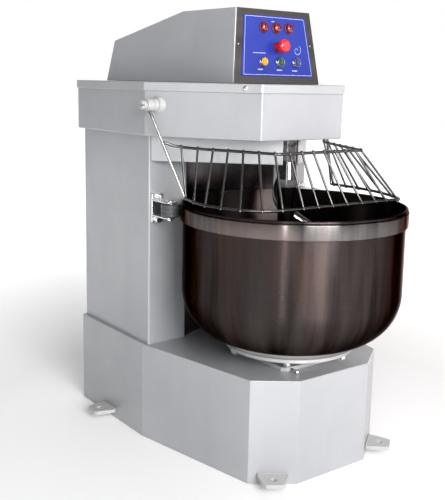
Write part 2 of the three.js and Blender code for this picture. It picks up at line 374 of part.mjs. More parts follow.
// control hood: sheet cover on the lid with a leaning front
const panelLen = Math.hypot(HOOD_LEAN_Y, HOOD_H), upY = HOOD_LEAN_Y / panelLen, upZ = HOOD_H / panelLen;
const onPanel = (x, h, off) => [x, HOOD_FRONT_Y + upY * h - upZ * off, LID_TOP + GAP + upZ * h + upY * off];
{
  const z0 = LID_TOP + GAP, sideK = (HOOD_REAR_HALF - HOOD_FRONT_HALF) / (HOOD_REAR_Y - HOOD_FRONT_Y);
  const profile = [[HOOD_FRONT_Y, z0], [HOOD_FRONT_Y + HOOD_LEAN_Y, z0 + HOOD_H], [363.5, 1397.5], [713, 1312], [HOOD_REAR_Y, z0]];
  const body = (d, front, bottom) => {
    let p = inset([...profile].reverse(), d);
    // front moved back, bottom moved down
    p = p.map(([y, z]) => [y, z]);
    let m = prismX(p, -400, 400);
    // leaning, flaring sides
    for (const s of [-1, 1]) {
      const g = new THREE.BoxGeometry(400, 2400, 2400);
      g.translate(200, 0, 0);
      // outward normal of the side plane
      const nrm = new THREE.Vector3(1, -sideK, HOOD_SIDE_LEAN).normalize();
      const q = new THREE.Quaternion().setFromUnitVectors(new THREE.Vector3(1, 0, 0), nrm);
      g.applyQuaternion(q);
      g.translate(HOOD_FRONT_HALF, HOOD_FRONT_Y, z0);
      g.translate(-nrm.x * d, -nrm.y * d, -nrm.z * d);
      let h = solid(g);
      if (s < 0) h = flipX(h);
      m = m.subtract(h);
    }
    return m;
  };
  const backOf = (depth) => { // everything in front of a plane parallel to the panel, depth behind its face
    const g = new THREE.BoxGeometry(1000, 400, 1000);
    g.translate(0, -200, 0);
    g.rotateX(-Math.atan2(HOOD_LEAN_Y, HOOD_H));
    const p = onPanel(0, 0, -depth);
    g.translate(p[0], p[1], p[2]);
    return solid(g);
  };
  const outer = cut(body(0), backOf(BEZEL_T + GAP));
  const inner = join(cut(body(HOOD_SHEET), backOf(BEZEL_T + GAP + HOOD_SHEET)));
  const windowCut = (half0, half1, h0, h1, depth0, depth1) => {
    const g = new THREE.ExtrudeGeometry(shapeOf([[-half0, h0], [half0, h0], [half1, h1], [-half1, h1]]), { depth: depth1 - depth0, bevelEnabled: false, steps: 1 });
    g.applyMatrix4(new THREE.Matrix4().makeBasis(new THREE.Vector3(1, 0, 0), new THREE.Vector3(0, upY, upZ), new THREE.Vector3(0, -upZ, upY)));
    const p = onPanel(0, 0, depth0);
    g.translate(p[0], p[1], p[2]);
    return solid(g);
  };
  const openBottom = prism([[-160, HOOD_FRONT_Y + 24], [160, HOOD_FRONT_Y + 24], [228, HOOD_REAR_Y - 14], [-228, HOOD_REAR_Y - 14]], z0 - 4, z0 + 8);
  add('control_hood', cut(outer, inner, openBottom, windowCut(158, 131, 14, 214, -12, 2)), PAINT, 0.2, 0.45);
  const holes = [[-49.5, 172, 9.2], [1.5, 172, 9.2], [52.5, 172, 9.2], [3, 113.5, 11.8], [-58, 67, 11.8], [9.5, 67, 11.8], [77.5, 67, 11.8]];
  const drill = holes.map(([x, h, r]) => rod(onPanel(x, h, -8), onPanel(x, h, 6), r, 12));
  add('panel_bezel', cut(windowCut(174.4, 174.4 - 29 * (226 / 228), 0.7, panelLen - 0.3, -BEZEL_T, 0), ...drill), 0x77706a, 0.7, 0.4);
  add('panel_overlay', cut(windowCut(146, 123, 23, 208.5, 0.25, 1.5), ...drill), 0x3b4cc4, 0, 0.35);
  // lamps: dome on a stem through the panel
  const turnedOut = (x, h, prof, n = 28) => { // profile [radius, offset] turned about the panel normal
    const pts = prof.map(([r, o]) => new THREE.Vector2(r, o));
    if (prof[0][0] > 1e-6 || prof[prof.length - 1][0] > 1e-6) pts.push(pts[0].clone());
    const g = new THREE.LatheGeometry(pts, n);
    g.applyQuaternion(new THREE.Quaternion().setFromUnitVectors(new THREE.Vector3(0, 1, 0), new THREE.Vector3(0, -upZ, upY)));
    g.translate(...onPanel(x, h, 0));
    const m = solid(g);
    return m.volume() < 0 ? solid(flip(g)) : m;
  };
  const names = ['left', 'middle', 'right'];
  holes.slice(0, 3).forEach(([x, h], i) => {
    const dome = [[0, -16], [8.6, -16], [8.6, 1.8], [16.5, 1.8], [16.8, 5]];
    for (let k = 0; k <= 4; k++) { const a = ((Math.PI / 2) * k) / 4; dome.push([15.4 * Math.cos(a), 6 + 9 * Math.sin(a)]); }
    dome[dome.length - 1][0] = 0;
    add(`indicator_lamp_${names[i]}`, turnedOut(x, h, dome, 16), 0x8c0f14, 0, 0.2);
  });
  const btn = [[-58, 'yellow', 0xd98a10], [9.5, 'green', 0x0c5a2c], [77.5, 'blue', 0x14206e]];
  for (const [x, n, c] of btn) {
    add(`button_collar_${n}`, turnedOut(x, 67, [[8.2, -14], [11, -14], [11, 1.8], [14.6, 1.8], [14.6, 9], [13.4, 11], [11.8, 11], [11.8, 3], [8.2, 3]], 16), CHROME, 0.95, 0.15);
    add(`button_${n}`, turnedOut(x, 67, [[0, -20], [7.8, -20], [7.8, 6.4], [11.4, 6.4], [11.4, 11.8], [10.4, 13.2], [0, 13.8]], 16), c, 0, 0.25);
  }
  add('estop_collar', turnedOut(3, 113.5, [[8.2, -14], [11, -14], [11, 1.8], [15, 1.8], [15, 10], [13.6, 12], [11.2, 12], [11.2, 3.2], [8.2, 3.2]], 16), 0x9c1418, 0.1, 0.35);
  add('estop_button', turnedOut(3, 113.5, [[0, -20], [7.8, -20], [7.8, 7.8], [10.8, 7.8], [10.8, 24], [18.5, 25.5], [20, 28], [20, 39], [18.2, 42.5], [12, 44.4], [0, 45]], 20), 0xc61a20, 0, 0.3);
}

export default root;
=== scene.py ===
import bpy, bmesh, math
import numpy as np
from mathutils import Vector, Matrix


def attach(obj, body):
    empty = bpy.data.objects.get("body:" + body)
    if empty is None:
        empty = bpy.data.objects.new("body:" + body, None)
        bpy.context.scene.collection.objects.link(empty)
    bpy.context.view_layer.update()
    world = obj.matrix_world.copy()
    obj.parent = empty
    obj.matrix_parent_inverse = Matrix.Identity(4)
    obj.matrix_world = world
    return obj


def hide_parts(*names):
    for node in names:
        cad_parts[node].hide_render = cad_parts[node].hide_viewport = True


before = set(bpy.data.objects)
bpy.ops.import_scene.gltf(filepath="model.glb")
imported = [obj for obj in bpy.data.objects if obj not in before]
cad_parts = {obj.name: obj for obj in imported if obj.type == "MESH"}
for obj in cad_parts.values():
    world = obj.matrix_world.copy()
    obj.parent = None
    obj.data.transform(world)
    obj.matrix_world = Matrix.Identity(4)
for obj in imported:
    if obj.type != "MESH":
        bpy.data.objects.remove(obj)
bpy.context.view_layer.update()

# ------------------------------------------------------------------ dimensions (mm, bowl axis at x = y = 0)
OFF_Y = -200.75
GAP, SHEET = 0.3, 4.0
BASE_TOP = 323.6
LID_TOP = 1173.4
BOWL_R, BOWL_T, BOWL_FLOOR, BOWL_CORNER = 346.0, 3.5, 384.0, 160.0
HINGE_Y, HINGE_Z = 263.0, 1104.0


def mirror(pts):
    return list(pts) + [(-x, y) for x, y in reversed(pts)]


BASE_PLAN = mirror([(-346.6, 755), (-346.6, 332.6), (-262, -130), (-142, -216)])
COL_PLAN = [(-333.8, 316), (333.8, 316), (333.8, 750), (-333.8, 750)]
HEAD_PLAN = mirror([(-359.7, 748), (-359.7, 299.7), (-164.2, -30.4)])


# ------------------------------------------------------------------ mesh toolbox: a part is (verts Nx3 mm, faces)
def area2(pts):
    p = np.asarray(pts, float)
    q = np.roll(p, -1, 0)
    return float((p[:, 0] * q[:, 1] - q[:, 0] * p[:, 1]).sum())


def inset(pts, d):
    n = len(pts)
    s = 1 if area2(pts) > 0 else -1
    L = []
    for i in range(n):
        (x0, y0), (x1, y1) = pts[i], pts[(i + 1) % n]
        l = math.hypot(x1 - x0, y1 - y0)
        nx, ny = -(y1 - y0) / l * s, (x1 - x0) / l * s
        L.append((nx, ny, nx * x0 + ny * y0 + d))
    out = []
    for i in range(n):
        a, b = L[(i - 1) % n], L[i]
        det = a[0] * b[1] - a[1] * b[0]
        out.append(((a[2] * b[1] - b[2] * a[1]) / det, (a[0] * b[2] - b[0] * a[2]) / det))
    return out


def fillet(pts, r, seg=5, closed=True):
    """Outline with its corners rounded; r is a number or one per corner."""
    n = len(pts)
    out = []
    for i in range(n):
        ri = r[i] if hasattr(r, "__len__") else r
        p = np.array(pts[i], float)
        if (not closed and i in (0, n - 1)) or ri <= 0:
            out.append(tuple(p))
            continue
        a = np.array(pts[(i - 1) % n], float) - p
        b = np.array(pts[(i + 1) % n], float) - p
        la, lb = np.linalg.norm(a), np.linalg.norm(b)
        a, b = a / la, b / lb
        half = math.acos(max(-1, min(1, float(a @ b)))) / 2
        if half > math.pi / 2 - 1e-3:
            out += [tuple(p)] * (seg + 1)
            continue
        t = min(ri / math.tan(half), 0.48 * la, 0.48 * lb)
        rr = t * math.tan(half)
        c = p + (a + b) / np.linalg.norm(a + b) * (rr / math.sin(half))
        s0, s1 = p + a * t - c, p + b * t - c
        w = math.pi - 2 * half
        for k in range(seg + 1):
            f = k / seg
            v = (math.sin((1 - f) * w) * s0 + math.sin(f * w) * s1) / math.sin(w)
            out.append(tuple(c + v))
    return out


def rings_part(rings, caps=True, wrap=False):
    n, m = len(rings[0]), len(rings)
    v = np.array([p for r in rings for p in r], float)
    f = []
    for j in range(m if wrap else m - 1):
        a, b = j * n, ((j + 1) % m) * n
        for i in range(n):
            k = (i + 1) % n
            f.append((a + i, a + k, b + k, b + i))
    if caps and not wrap:
        f.append(tuple(range(n))[::-1])
        f.append(tuple((m - 1) * n + i for i in range(n)))
    return v, f


def ringprism(plan, radius, stack, seg=5):
    """Prism over a convex plan: stack is a list of (inset, z), and the corner radius shrinks with the inset."""
    if area2(plan) < 0:
        plan = list(reversed(plan))
    rings = []
    for d, z in stack:
        pl = inset(plan, d) if abs(d) > 1e-9 else plan
        rr = [max(r - d, 0.25) for r in radius] if hasattr(radius, "__len__") else max(radius - d, 0.25)
        rings.append([(x, y, z) for x, y in fillet(pl, rr, seg)])
    return rings_part(rings)


def arc(r, a0, a1, n, c=(0, 0)):
    return [(c[0] + r * math.cos(a0 + (a1 - a0) * i / n), c[1] + r * math.sin(a0 + (a1 - a0) * i / n)) for i in range(n + 1)]


def edge(r, z0, z1, n=3, bottom=True, top=True):
    """(inset, z) stack with rounded bottom and top edges of radius r."""
    s = []
    if bottom:
        s += [(r - r * math.sin(a), z0 + r - r * math.cos(a)) for a in [math.pi / 2 * i / n for i in range(n + 1)]]
    else:
        s += [(0, z0)]
    if top:
        s += [(r - r * math.cos(a), z1 - r + r * math.sin(a)) for a in [math.pi / 2 * i / n for i in range(n + 1)]]
    else:
        s += [(0, z1)]
    return s


def lathe(profile, n=64, closed=None):
    """Turned about local Z; profile is [(r, z)]. On-axis ends close it, otherwise it closes on itself."""
    P = [(max(r, 0.0), z) for r, z in profile]
    on0, on1 = P[0][0] < 1e-6, P[-1][0] < 1e-6
    closed = (not on0 and not on1) if closed is None else closed
    v, idx = [], []
    for r, z in P:
        if r < 1e-6:
            idx.append([len(v)] * n)
            v.append((0, 0, z))
        else:
            idx.append(list(range(len(v), len(v) + n)))
            v += [(r * math.cos(2 * math.pi * i / n), r * math.sin(2 * math.pi * i / n), z) for i in range(n)]
    f = []
    m = len(P)
    for j in range(m if closed else m - 1):
        A, B = idx[j], idx[(j + 1) % m]
        for i in range(n):
            k = (i + 1) % n
            q = [A[i], A[k], B[k], B[i]]
            q = [x for t, x in enumerate(q) if x != q[t - 1]]
            if len(q) >= 3:
                f.append(tuple(q))
    return np.array(v, float), f


def sweep(path, r, n=12, radii=None, cap=True, closed=False):
    p = np.array(path, float)
    m = len(p)
    if closed:
        t = np.roll(p, -1, 0) - np.roll(p, 1, 0)
    else:
        t = np.gradient(p, axis=0)
    t /= np.linalg.norm(t, axis=1)[:, None]
    ref = np.array([0, 0, 1.0]) if abs(t[0][2]) < 0.9 else np.array([1.0, 0, 0])
    u = np.cross(t[0], ref)
    u /= np.linalg.norm(u)
    rr = np.full(m, float(r)) if radii is None else np.array(radii, float)
    C, R, U, Tn = [], [], [], []
    for i in range(m):
        u = u - t[i] * (u @ t[i])
        u /= np.linalg.norm(u)
        C.append(p[i]); R.append(rr[i]); U.append(u.copy()); Tn.append(t[i])
    if cap and not closed:
        for end in (0, -1):
            s = -1 if end == 0 else 1
            c, rad, uu, tt = C[end], R[end], U[end], Tn[end]
            extra = []
            for k in (1, 2, 3):
                a = math.pi / 2 * k / 3.4
                extra.append((c + s * tt * rad * math.sin(a) * 0.6, rad * math.cos(a), uu, tt))
            for e in extra:
                if end == 0:
                    C.insert(0, e[0]); R.insert(0, e[1]); U.insert(0, e[2]); Tn.insert(0, e[3])
                else:
                    C.append(e[0]); R.append(e[1]); U.append(e[2]); Tn.append(e[3])
    rings = []
    for c, rad, uu, tt in zip(C, R, U, Tn):
        w = np.cross(tt, uu)
        rings.append([tuple(c + rad * (math.cos(2 * math.pi * k / n) * uu + math.sin(2 * math.pi * k / n) * w)) for k in range(n)])
    return rings_part(rings, caps=not closed, wrap=closed)


def straight(a, b, steps=2):
    a, b = np.array(a, float), np.array(b, float)
    return [tuple(a + (b - a) * i / (steps - 1)) for i in range(steps)]


def catmull(points, samples=160):
    """Centripetal Catmull-Rom through the points, resampled evenly by length."""
    P = [np.array(p, float) for p in points]
    P = [2 * P[0] - P[1]] + P + [2 * P[-1] - P[-2]]
    out = []
    for i in range(1, len(P) - 2):
        p0, p1, p2, p3 = P[i - 1 : i + 3]
        d0, d1, d2 = (max(np.linalg.norm(b - a) ** 0.5, 1e-6) for a, b in ((p0, p1), (p1, p2), (p2, p3)))
        t1 = ((p1 - p0) / d0 - (p2 - p0) / (d0 + d1) + (p2 - p1) / d1) * d1
        t2 = ((p2 - p1) / d1 - (p3 - p1) / (d1 + d2) + (p3 - p2) / d2) * d1
        for k in range(24):
            t = k / 24
            out.append(p1 + t1 * t + (-3 * p1 + 3 * p2 - 2 * t1 - t2) * t * t + (2 * p1 - 2 * p2 + t1 + t2) * t ** 3)
    out.append(P[-2])
    out = np.array(out)
    L = np.concatenate([[0], np.cumsum(np.linalg.norm(np.diff(out, axis=0), axis=1))])
    s = np.linspace(0, L[-1], samples)
    return np.stack([np.interp(s, L, out[:, k]) for k in range(3)], 1)


def at(curve, u):
    x = u * (len(curve) - 1)
    i = int(min(x, len(curve) - 2))
    return curve[i] + (curve[i + 1] - curve[i]) * (x - i)


def put(part, origin=(0, 0, 0), z=(0, 0, 1), x=None):
    """Places a part with its local Z along z."""
    zz = Vector(z).normalized()
    if x is None:
        x = (1, 0, 0) if abs(zz.x) < 0.9 else (0, 1, 0)
    xx = Vector(x)
    xx = (xx - zz * xx.dot(zz)).normalized()
    yy = zz.cross(xx)
    R = np.array([list(xx), list(yy), list(zz)])
    return part[0] @ R + np.array(origin, float), part[1]


def flipx(part):
    v = part[0].copy()
    v[:, 0] *= -1
    return v, [tuple(reversed(f)) for f in part[1]]


def box(x0, x1, y0, y1, z0, z1, r=1.0, rc=None, seg=3):
    return ringprism([(x0, y0), (x1, y0), (x1, y1), (x0, y1)], rc if rc is not None else r, edge(r, z0, z1, 2), seg)


def tomesh(name, parts):
    v, f, off = [], [], 0
    for pv, pf in parts:
        v.append(pv)
        f += [tuple(i + off for i in q) for q in pf]
        off += len(pv)
    V = np.concatenate(v).copy()
    V[:, 1] += OFF_Y
    V /= 1000.0
    me = bpy.data.meshes.new(name)
    me.from_pydata([tuple(p) for p in V], [], f)
    me.validate()
    bm = bmesh.new()
    bm.from_mesh(me)
    bmesh.ops.remove_doubles(bm, verts=bm.verts, dist=1e-7)
    bmesh.ops.dissolve_degenerate(bm, dist=1e-7, edges=bm.edges)
    bmesh.ops.recalc_face_normals(bm, faces=bm.faces)
    bm.to_mesh(me)
    bm.free()
    return me


def scratch(name, parts):
    o = bpy.data.objects.new(name, tomesh(name, parts))
    bpy.context.scene.collection.objects.link(o)
    return o


def cut(o, cutters, op="DIFFERENCE"):
    """Booleans cutters (parts) out of o, and leaves plain mesh."""
    for k, c in enumerate(cutters):
        t = c if isinstance(c, bpy.types.Object) else scratch("cutter", [c])
        m = o.modifiers.new("b", "BOOLEAN")
        m.operation, m.solver, m.object = op, "EXACT", t
        bake(o)
        me = t.data
        bpy.data.objects.remove(t)
        bpy.data.meshes.remove(me)
    return o


def bake(o):
    bpy.context.view_layer.update()
    dg = bpy.context.evaluated_depsgraph_get()
    me = bpy.data.meshes.new_from_object(o.evaluated_get(dg), depsgraph=dg)
    old = o.data
    o.modifiers.clear()
    o.data = me
    bpy.data.meshes.remove(old)


def finish_piece(o, mat, body, replaces=(), angle=32, weighted=True):
    me = o.data
    for p in me.polygons:
        p.use_smooth = True
    me.set_sharp_from_angle(angle=math.radians(angle))
    if weighted:
        w = o.modifiers.new("w", "WEIGHTED_NORMAL")
        w.mode, w.weight, w.keep_sharp = "FACE_AREA", 60, True
        bake(o)
    o.data.materials.clear()
    o.data.materials.append(mat)
    for p in o.data.polygons:
        p.material_index = 0
    o.data.name = o.name
    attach(o, body)
    if replaces:
        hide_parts(*replaces)
    return o


def piece(name, parts, mat, body="frame", replaces=(), angle=32, weighted=True, cutters=()):
    o = scratch(name, parts)
    if cutters:
        cut(o, cutters)
    return finish_piece(o, mat, body, replaces, angle, weighted)


# ------------------------------------------------------------------ materials
class Look:
    def __init__(s, name, **sockets):
        s.m = bpy.data.materials.new(name)
        s.m.use_nodes = True
        s.nt = s.m.node_tree
        s.b = s.nt.nodes["Principled BSDF"]
        s.co = s.new("ShaderNodeTexCoord").outputs["Object"]
        s.normal = None
        for k, v in sockets.items():
            k = k.replace("_", " ")
            s.b.inputs[k].default_value = v

    def new(s, kind, **attrs):
        n = s.nt.nodes.new(kind)
        for k, v in attrs.items():
            setattr(n, k, v)
        return n

    def link(s, a, b):
        s.nt.links.new(a, b)

    def mapped(s, scale, loc=(0, 0, 0), rot=(0, 0, 0), src=None):
        n = s.new("ShaderNodeMapping")
        n.inputs["Scale"].default_value = scale
        n.inputs["Location"].default_value = loc
        n.inputs["Rotation"].default_value = rot
        s.link(src or s.co, n.inputs["Vector"])
        return n.outputs[0]

    def noise(s, vec=None, scale=1.0, detail=3.0, rough=0.5, distort=0.0):
        n = s.new("ShaderNodeTexNoise")
        n.inputs["Scale"].default_value = scale
        n.inputs["Detail"].default_value = detail
        n.inputs["Roughness"].default_value = rough
        n.inputs["Distortion"].default_value = distort
        s.link(vec or s.co, n.inputs["Vector"])
        return n.outputs[0]

    def voronoi(s, vec=None, scale=1.0):
        n = s.new("ShaderNodeTexVoronoi")
        n.inputs["Scale"].default_value = scale
        s.link(vec or s.co, n.inputs["Vector"])
        return n.outputs["Distance"]

    def math(s, op, a, b=None, clamp=False):
        n = s.new("ShaderNodeMath", operation=op, use_clamp=clamp)
        for i, x in enumerate((a, b)):
            if x is None:
                continue
            if isinstance(x, (int, float)):
                n.inputs[i].default_value = x
            else:
                s.link(x, n.inputs[i])
        return n.outputs[0]

    def span(s, fac, lo, hi, a, b):
        n = s.new("ShaderNodeMapRange")
        n.inputs["From Min"].default_value = lo
        n.inputs["From Max"].default_value = hi
        n.inputs["To Min"].default_value = a
        n.inputs["To Max"].default_value = b
        s.link(fac, n.inputs["Value"])
        return n.outputs[0]

    def mix(s, fac, a, b, mode="MIX"):
        n = s.new("ShaderNodeMix", data_type="RGBA", blend_type=mode)
        if isinstance(fac, (int, float)):
            n.inputs[0].default_value = fac
        else:
            s.link(fac, n.inputs[0])
        for i, x in ((6, a), (7, b)):
            if isinstance(x, tuple):
                n.inputs[i].default_value = (*x, 1)
            else:
                s.link(x, n.inputs[i])
        return n.outputs[2]

    def turned(s, x0, y0, k, ka=1.5):
        """Coordinates that run round a vertical axis: fine along radius and height, coarse along the turn."""
        n = s.new("ShaderNodeSeparateXYZ")
        s.link(s.co, n.inputs[0])
        dx, dy = s.math("SUBTRACT", n.outputs[0], x0), s.math("SUBTRACT", n.outputs[1], y0)
        r = s.math("SQRT", s.math("ADD", s.math("MULTIPLY", dx, dx), s.math("MULTIPLY", dy, dy)))
        a = s.math("ARCTAN2", dx, dy)
        c = s.new("ShaderNodeCombineXYZ")
        s.link(s.math("MULTIPLY", r, k), c.inputs[0])
        s.link(s.math("MULTIPLY", n.outputs[2], k), c.inputs[1])
        s.link(s.math("MULTIPLY", a, ka), c.inputs[2])
        return c.outputs[0]

    def bump(s, height, strength, distance):
        n = s.new("ShaderNodeBump")
        n.inputs["Strength"].default_value = strength
        n.inputs["Distance"].default_value = distance
        s.link(height, n.inputs["Height"])
        if s.normal is not None:
            s.link(s.normal, n.inputs["Normal"])
        s.normal = n.outputs[0]
        s.link(s.normal, s.b.inputs["Normal"])

    def colour(s, out):
        s.link(out, s.b.inputs["Base Color"])

    def rough(s, out):
        s.link(out, s.b.inputs["Roughness"])


def paint(name, lo, hi, rough=0.4, metallic=0.25, coat=0.25):
    L = Look(name, Metallic=metallic)
    L.b.inputs["Coat Weight"].default_value = coat
    L.b.inputs["Coat Roughness"].default_value = 0.22
    mottle = L.noise(scale=2.6, detail=5, rough=0.6)
    base = L.mix(L.span(mottle, 0.32, 0.68, 0, 1), lo, hi)
    flake = L.noise(scale=1500, detail=1, rough=0.5)
    base = L.mix(L.span(flake, 0.62, 0.78, 0, 0.5), base, tuple(min(1, c * 1.35) for c in hi))
    # faint darker grime in soft vertical runs
    run = L.noise(L.mapped((9, 9, 0.7)), scale=1.6, detail=4, rough=0.65)
    base = L.mix(L.span(run, 0.52, 0.8, 0, 0.22), base, tuple(c * 0.8 for c in lo))
    L.colour(base)
    L.rough(L.span(L.noise(scale=14, detail=4), 0.3, 0.7, rough - 0.05, rough + 0.07))
    L.bump(L.noise(scale=3.2, detail=2), 0.16, 0.004)
    L.bump(L.noise(scale=420, detail=2), 0.10, 0.0003)
    L.bump(flake, 0.05, 0.0001)
    return L.m


def steel(name, colour, rough, mode="none", axis=(0, 0), ani=0.0, var=0.18, line=0.12, metallic=1.0, wave=0.0):
    L = Look(name, Metallic=metallic)
    L.b.inputs["Anisotropic"].default_value = ani
    if mode == "turn":
        fine = L.noise(L.turned(axis[0], axis[1], 900, 0.9), scale=1.0, detail=5, rough=0.7)
        broad = L.noise(L.turned(axis[0], axis[1], 60, 0.7), scale=1.0, detail=3)
    elif mode in ("x", "y", "z"):
        sc = {"x": (6, 700, 700), "y": (700, 6, 700), "z": (700, 700, 6)}[mode]
        fine = L.noise(L.mapped(sc), scale=1.0, detail=5, rough=0.7)
        broad = L.noise(L.mapped(tuple(v * 0.06 for v in sc)), scale=1.0, detail=3)
    else:
        fine = L.noise(scale=900, detail=4, rough=0.7)
        broad = L.noise(scale=22, detail=4)
    smudge = L.noise(scale=9, detail=5, rough=0.6, distort=0.4)
    c1 = tuple(c * (1 - var) for c in colour)
    c2 = tuple(min(1, c * (1 + var)) for c in colour)
    base = L.mix(L.span(broad, 0.3, 0.7, 0, 1), c1, c2)
    base = L.mix(L.span(fine, 0.35, 0.65, 0, 0.5), base, c1)
    L.colour(base)
    L.rough(L.math("ADD", L.span(smudge, 0.3, 0.75, rough * 0.75, rough * 1.35), L.span(fine, 0.35, 0.7, 0, 0.07)))
    L.bump(fine, line, 0.00008)
    if wave:
        L.bump(L.noise(scale=5, detail=2), wave, 0.003)
    return L.m


def polished_turn(name, dark, light, rough, ani):
    """Spun and hand-polished sheet with reflections painted into its colour: a very dark base stands in for a dark room
    reflected, soft upright smears and lighter streaks are painted reflection bands, warm brown patches are painted
    brown reflections; very fine rings.
    """
    L = Look(name, Metallic=1.0)
    L.b.inputs["Anisotropic"].default_value = ani
    L.b.inputs["Anisotropic Rotation"].default_value = 0.25
    L.b.inputs["Specular Tint"].default_value = (0.26, 0.22, 0.20, 1)
    x0, y0 = 0, OFF_Y / 1000
    # painted reflection: the smear noise sets dark and light upright bands in the colour, and also varies the roughness
    smear_and_reflection_band = L.noise(L.turned(x0, y0, 1.3, 3.2), scale=1.0, detail=3, rough=0.5, distort=0.5)
    painted_highlight_streak = L.noise(L.turned(x0, y0, 2.5, 14), scale=1.0, detail=3, rough=0.55, distort=0.3)
    fine = L.noise(L.turned(x0, y0, 1100, 0.8), scale=1.0, detail=4, rough=0.7)
    base = L.mix(L.span(smear_and_reflection_band, 0.36, 0.66, 0, 1), dark, light)
    # painted highlight: lighter upright streaks
    base = L.mix(L.span(painted_highlight_streak, 0.40, 0.70, 0, 0.45), base, tuple(c * 1.25 for c in light))
    # painted reflection: warm brown patches
    painted_brown_reflection = L.noise(L.turned(x0, y0, 1.1, 2.1), scale=1.7, detail=2, distort=0.8)
    base = L.mix(L.span(painted_brown_reflection, 0.52, 0.74, 0, 0.45), base, (light[0] * 1.25, light[1] * 0.86, light[2] * 0.74))
    base = L.mix(L.span(fine, 0.38, 0.66, 0, 0.16), base, dark)
    L.colour(base)
    L.rough(L.math("ADD", L.span(smear_and_reflection_band, 0.3, 0.7, rough * 0.8, rough * 1.3), L.span(fine, 0.35, 0.7, 0, 0.04)))
    L.bump(fine, 0.03, 0.00006)
    L.bump(L.noise(L.turned(x0, y0, 5, 3), scale=1.0, detail=2), 0.08, 0.002)
    return L.m


def plastic(name, colour, rough=0.25, coat=0.5, grain=900, trans=0.0, var=0.12):
    L = Look(name)
    L.b.inputs["Coat Weight"].default_value = coat
    L.b.inputs["Coat Roughness"].default_value = 0.06
    L.b.inputs["Transmission Weight"].default_value = trans
    n = L.noise(scale=60, detail=4)
    L.colour(L.mix(L.span(n, 0.3, 0.7, 0, 1), tuple(c * (1 - var) for c in colour), tuple(min(1, c * (1 + var)) for c in colour)))
    L.rough(L.span(L.noise(scale=160, detail=3), 0.3, 0.7, rough * 0.8, rough * 1.25))
    L.bump(L.noise(scale=grain, detail=2), 0.08, 0.0001)
    return L.m


M = {}
M["paint"] = paint("cabinet_enamel", (0.346, 0.353, 0.371), (0.406, 0.414, 0.430))
M["paint_light"] = paint("lid_enamel", (0.375, 0.383, 0.398), (0.436, 0.444, 0.458), rough=0.36)
M["shroud"] = paint("housing_enamel", (0.365, 0.373, 0.388), (0.425, 0.433, 0.446), rough=0.38)
M["white"] = paint("fitting_enamel", (0.36, 0.36, 0.365), (0.43, 0.43, 0.43), rough=0.33, metallic=0.0, coat=0.4)
# very dark bowl and rim colours: painted reflection of a dark room in bright polished steel
M["bowl"] = polished_turn("bowl_polished", (0.016, 0.012, 0.011), (0.062, 0.052, 0.051), 0.25, 0.95)
M["bowl_edge"] = polished_turn("rim_polished", (0.035, 0.030, 0.029), (0.17, 0.160, 0.160), 0.19, 0.92)
M["foot"] = steel("foot_brushed", (0.27, 0.26, 0.25), 0.3, "turn", (0, OFF_Y / 1000), ani=0.4, line=0.2)
# near-black liner colour: painted shade for the shadowed recess behind the bowl
M["liner"] = steel("recess_painted_shade", (0.10, 0.088, 0.09), 0.2, "z", var=0.2, line=0.12, wave=0.1)
# spiral and breaker bar colours kept dark: painted dark reflection on polished steel
M["spiral"] = steel("spiral_polished", (0.22, 0.21, 0.205), 0.14, "none", var=0.14, line=0.12)
M["post"] = steel("bar_polished", (0.15, 0.145, 0.145), 0.14, "turn", (-0.009, (25 + OFF_Y) / 1000), ani=0.3, line=0.12)
M["turned"] = steel("turned_steel", (0.52, 0.52, 0.52), 0.34, "none", var=0.1, line=0.2)
M["cast"] = steel("machined_casting", (0.50, 0.51, 0.52), 0.42, "none", var=0.14, line=0.35, metallic=0.7)
M["zinc"] = steel("zinc_plate", (0.80, 0.80, 0.82), 0.2, "none", var=0.1, line=0.12)
M["bracket"] = steel("bracket_plate", (0.72, 0.73, 0.75), 0.26, "z", var=0.1, line=0.2)
M["wire"] = steel("guard_wire_steel", (0.12, 0.118, 0.118), 0.26, "none", var=0.22, line=0.2)
M["rod"] = steel("rod_bright", (0.34, 0.335, 0.33), 0.18, "none", var=0.1, line=0.12)
M["bezel"] = steel("bezel_brushed", (0.088, 0.084, 0.084), 0.34, "x", ani=0.4, var=0.14, line=0.22)
M["chrome"] = steel("collar_chrome_plate", (0.36, 0.36, 0.37), 0.12, "none", var=0.05, line=0.04)
M["rubber"] = plastic("roller_rubber", (0.055, 0.057, 0.06), 0.42, 0.1, 500)
M["belt"] = plastic("belt_rubber", (0.022, 0.022, 0.024), 0.62, 0.0, 400)
M["motor"] = paint("motor_enamel", (0.10, 0.14, 0.18), (0.14, 0.18, 0.23), rough=0.45, metallic=0.0, coat=0.1)
M["red"] = plastic("mushroom_red", (0.66, 0.012, 0.016), 0.22, 0.6)
M["red_dark"] = plastic("collar_red", (0.30, 0.010, 0.014), 0.3, 0.3)
M["yellow"] = plastic("cap_yellow", (0.66, 0.25, 0.010), 0.25, 0.5)
M["green"] = plastic("cap_green", (0.003, 0.055, 0.018), 0.25, 0.5)
M["blue"] = plastic("cap_blue", (0.012, 0.025, 0.16), 0.25, 0.5)
M["black"] = plastic("lamp_base_dark_red", (0.085, 0.003, 0.006), 0.35, 0.2)
M["ink"] = plastic("white_print", (0.36, 0.42, 0.62), 0.45, 0.1)


def film():
    L = Look("panel_film")
    L.b.inputs["Specular IOR Level"].default_value = 0.35
    L.b.inputs["Coat Weight"].default_value = 0.08
    L.b.inputs["Coat Roughness"].default_value = 0.2
    n = L.noise(scale=7, detail=3)
    L.colour(L.mix(L.span(n, 0.3, 0.7, 0, 1), (0.008, 0.022, 0.225), (0.013, 0.031, 0.27)))
    L.rough(L.span(L.noise(scale=40, detail=4), 0.3, 0.7, 0.34, 0.44))
    L.bump(L.noise(scale=1600, detail=2), 0.12, 0.0001)
    L.bump(L.noise(scale=12, detail=2), 0.06, 0.001)
    return L.m


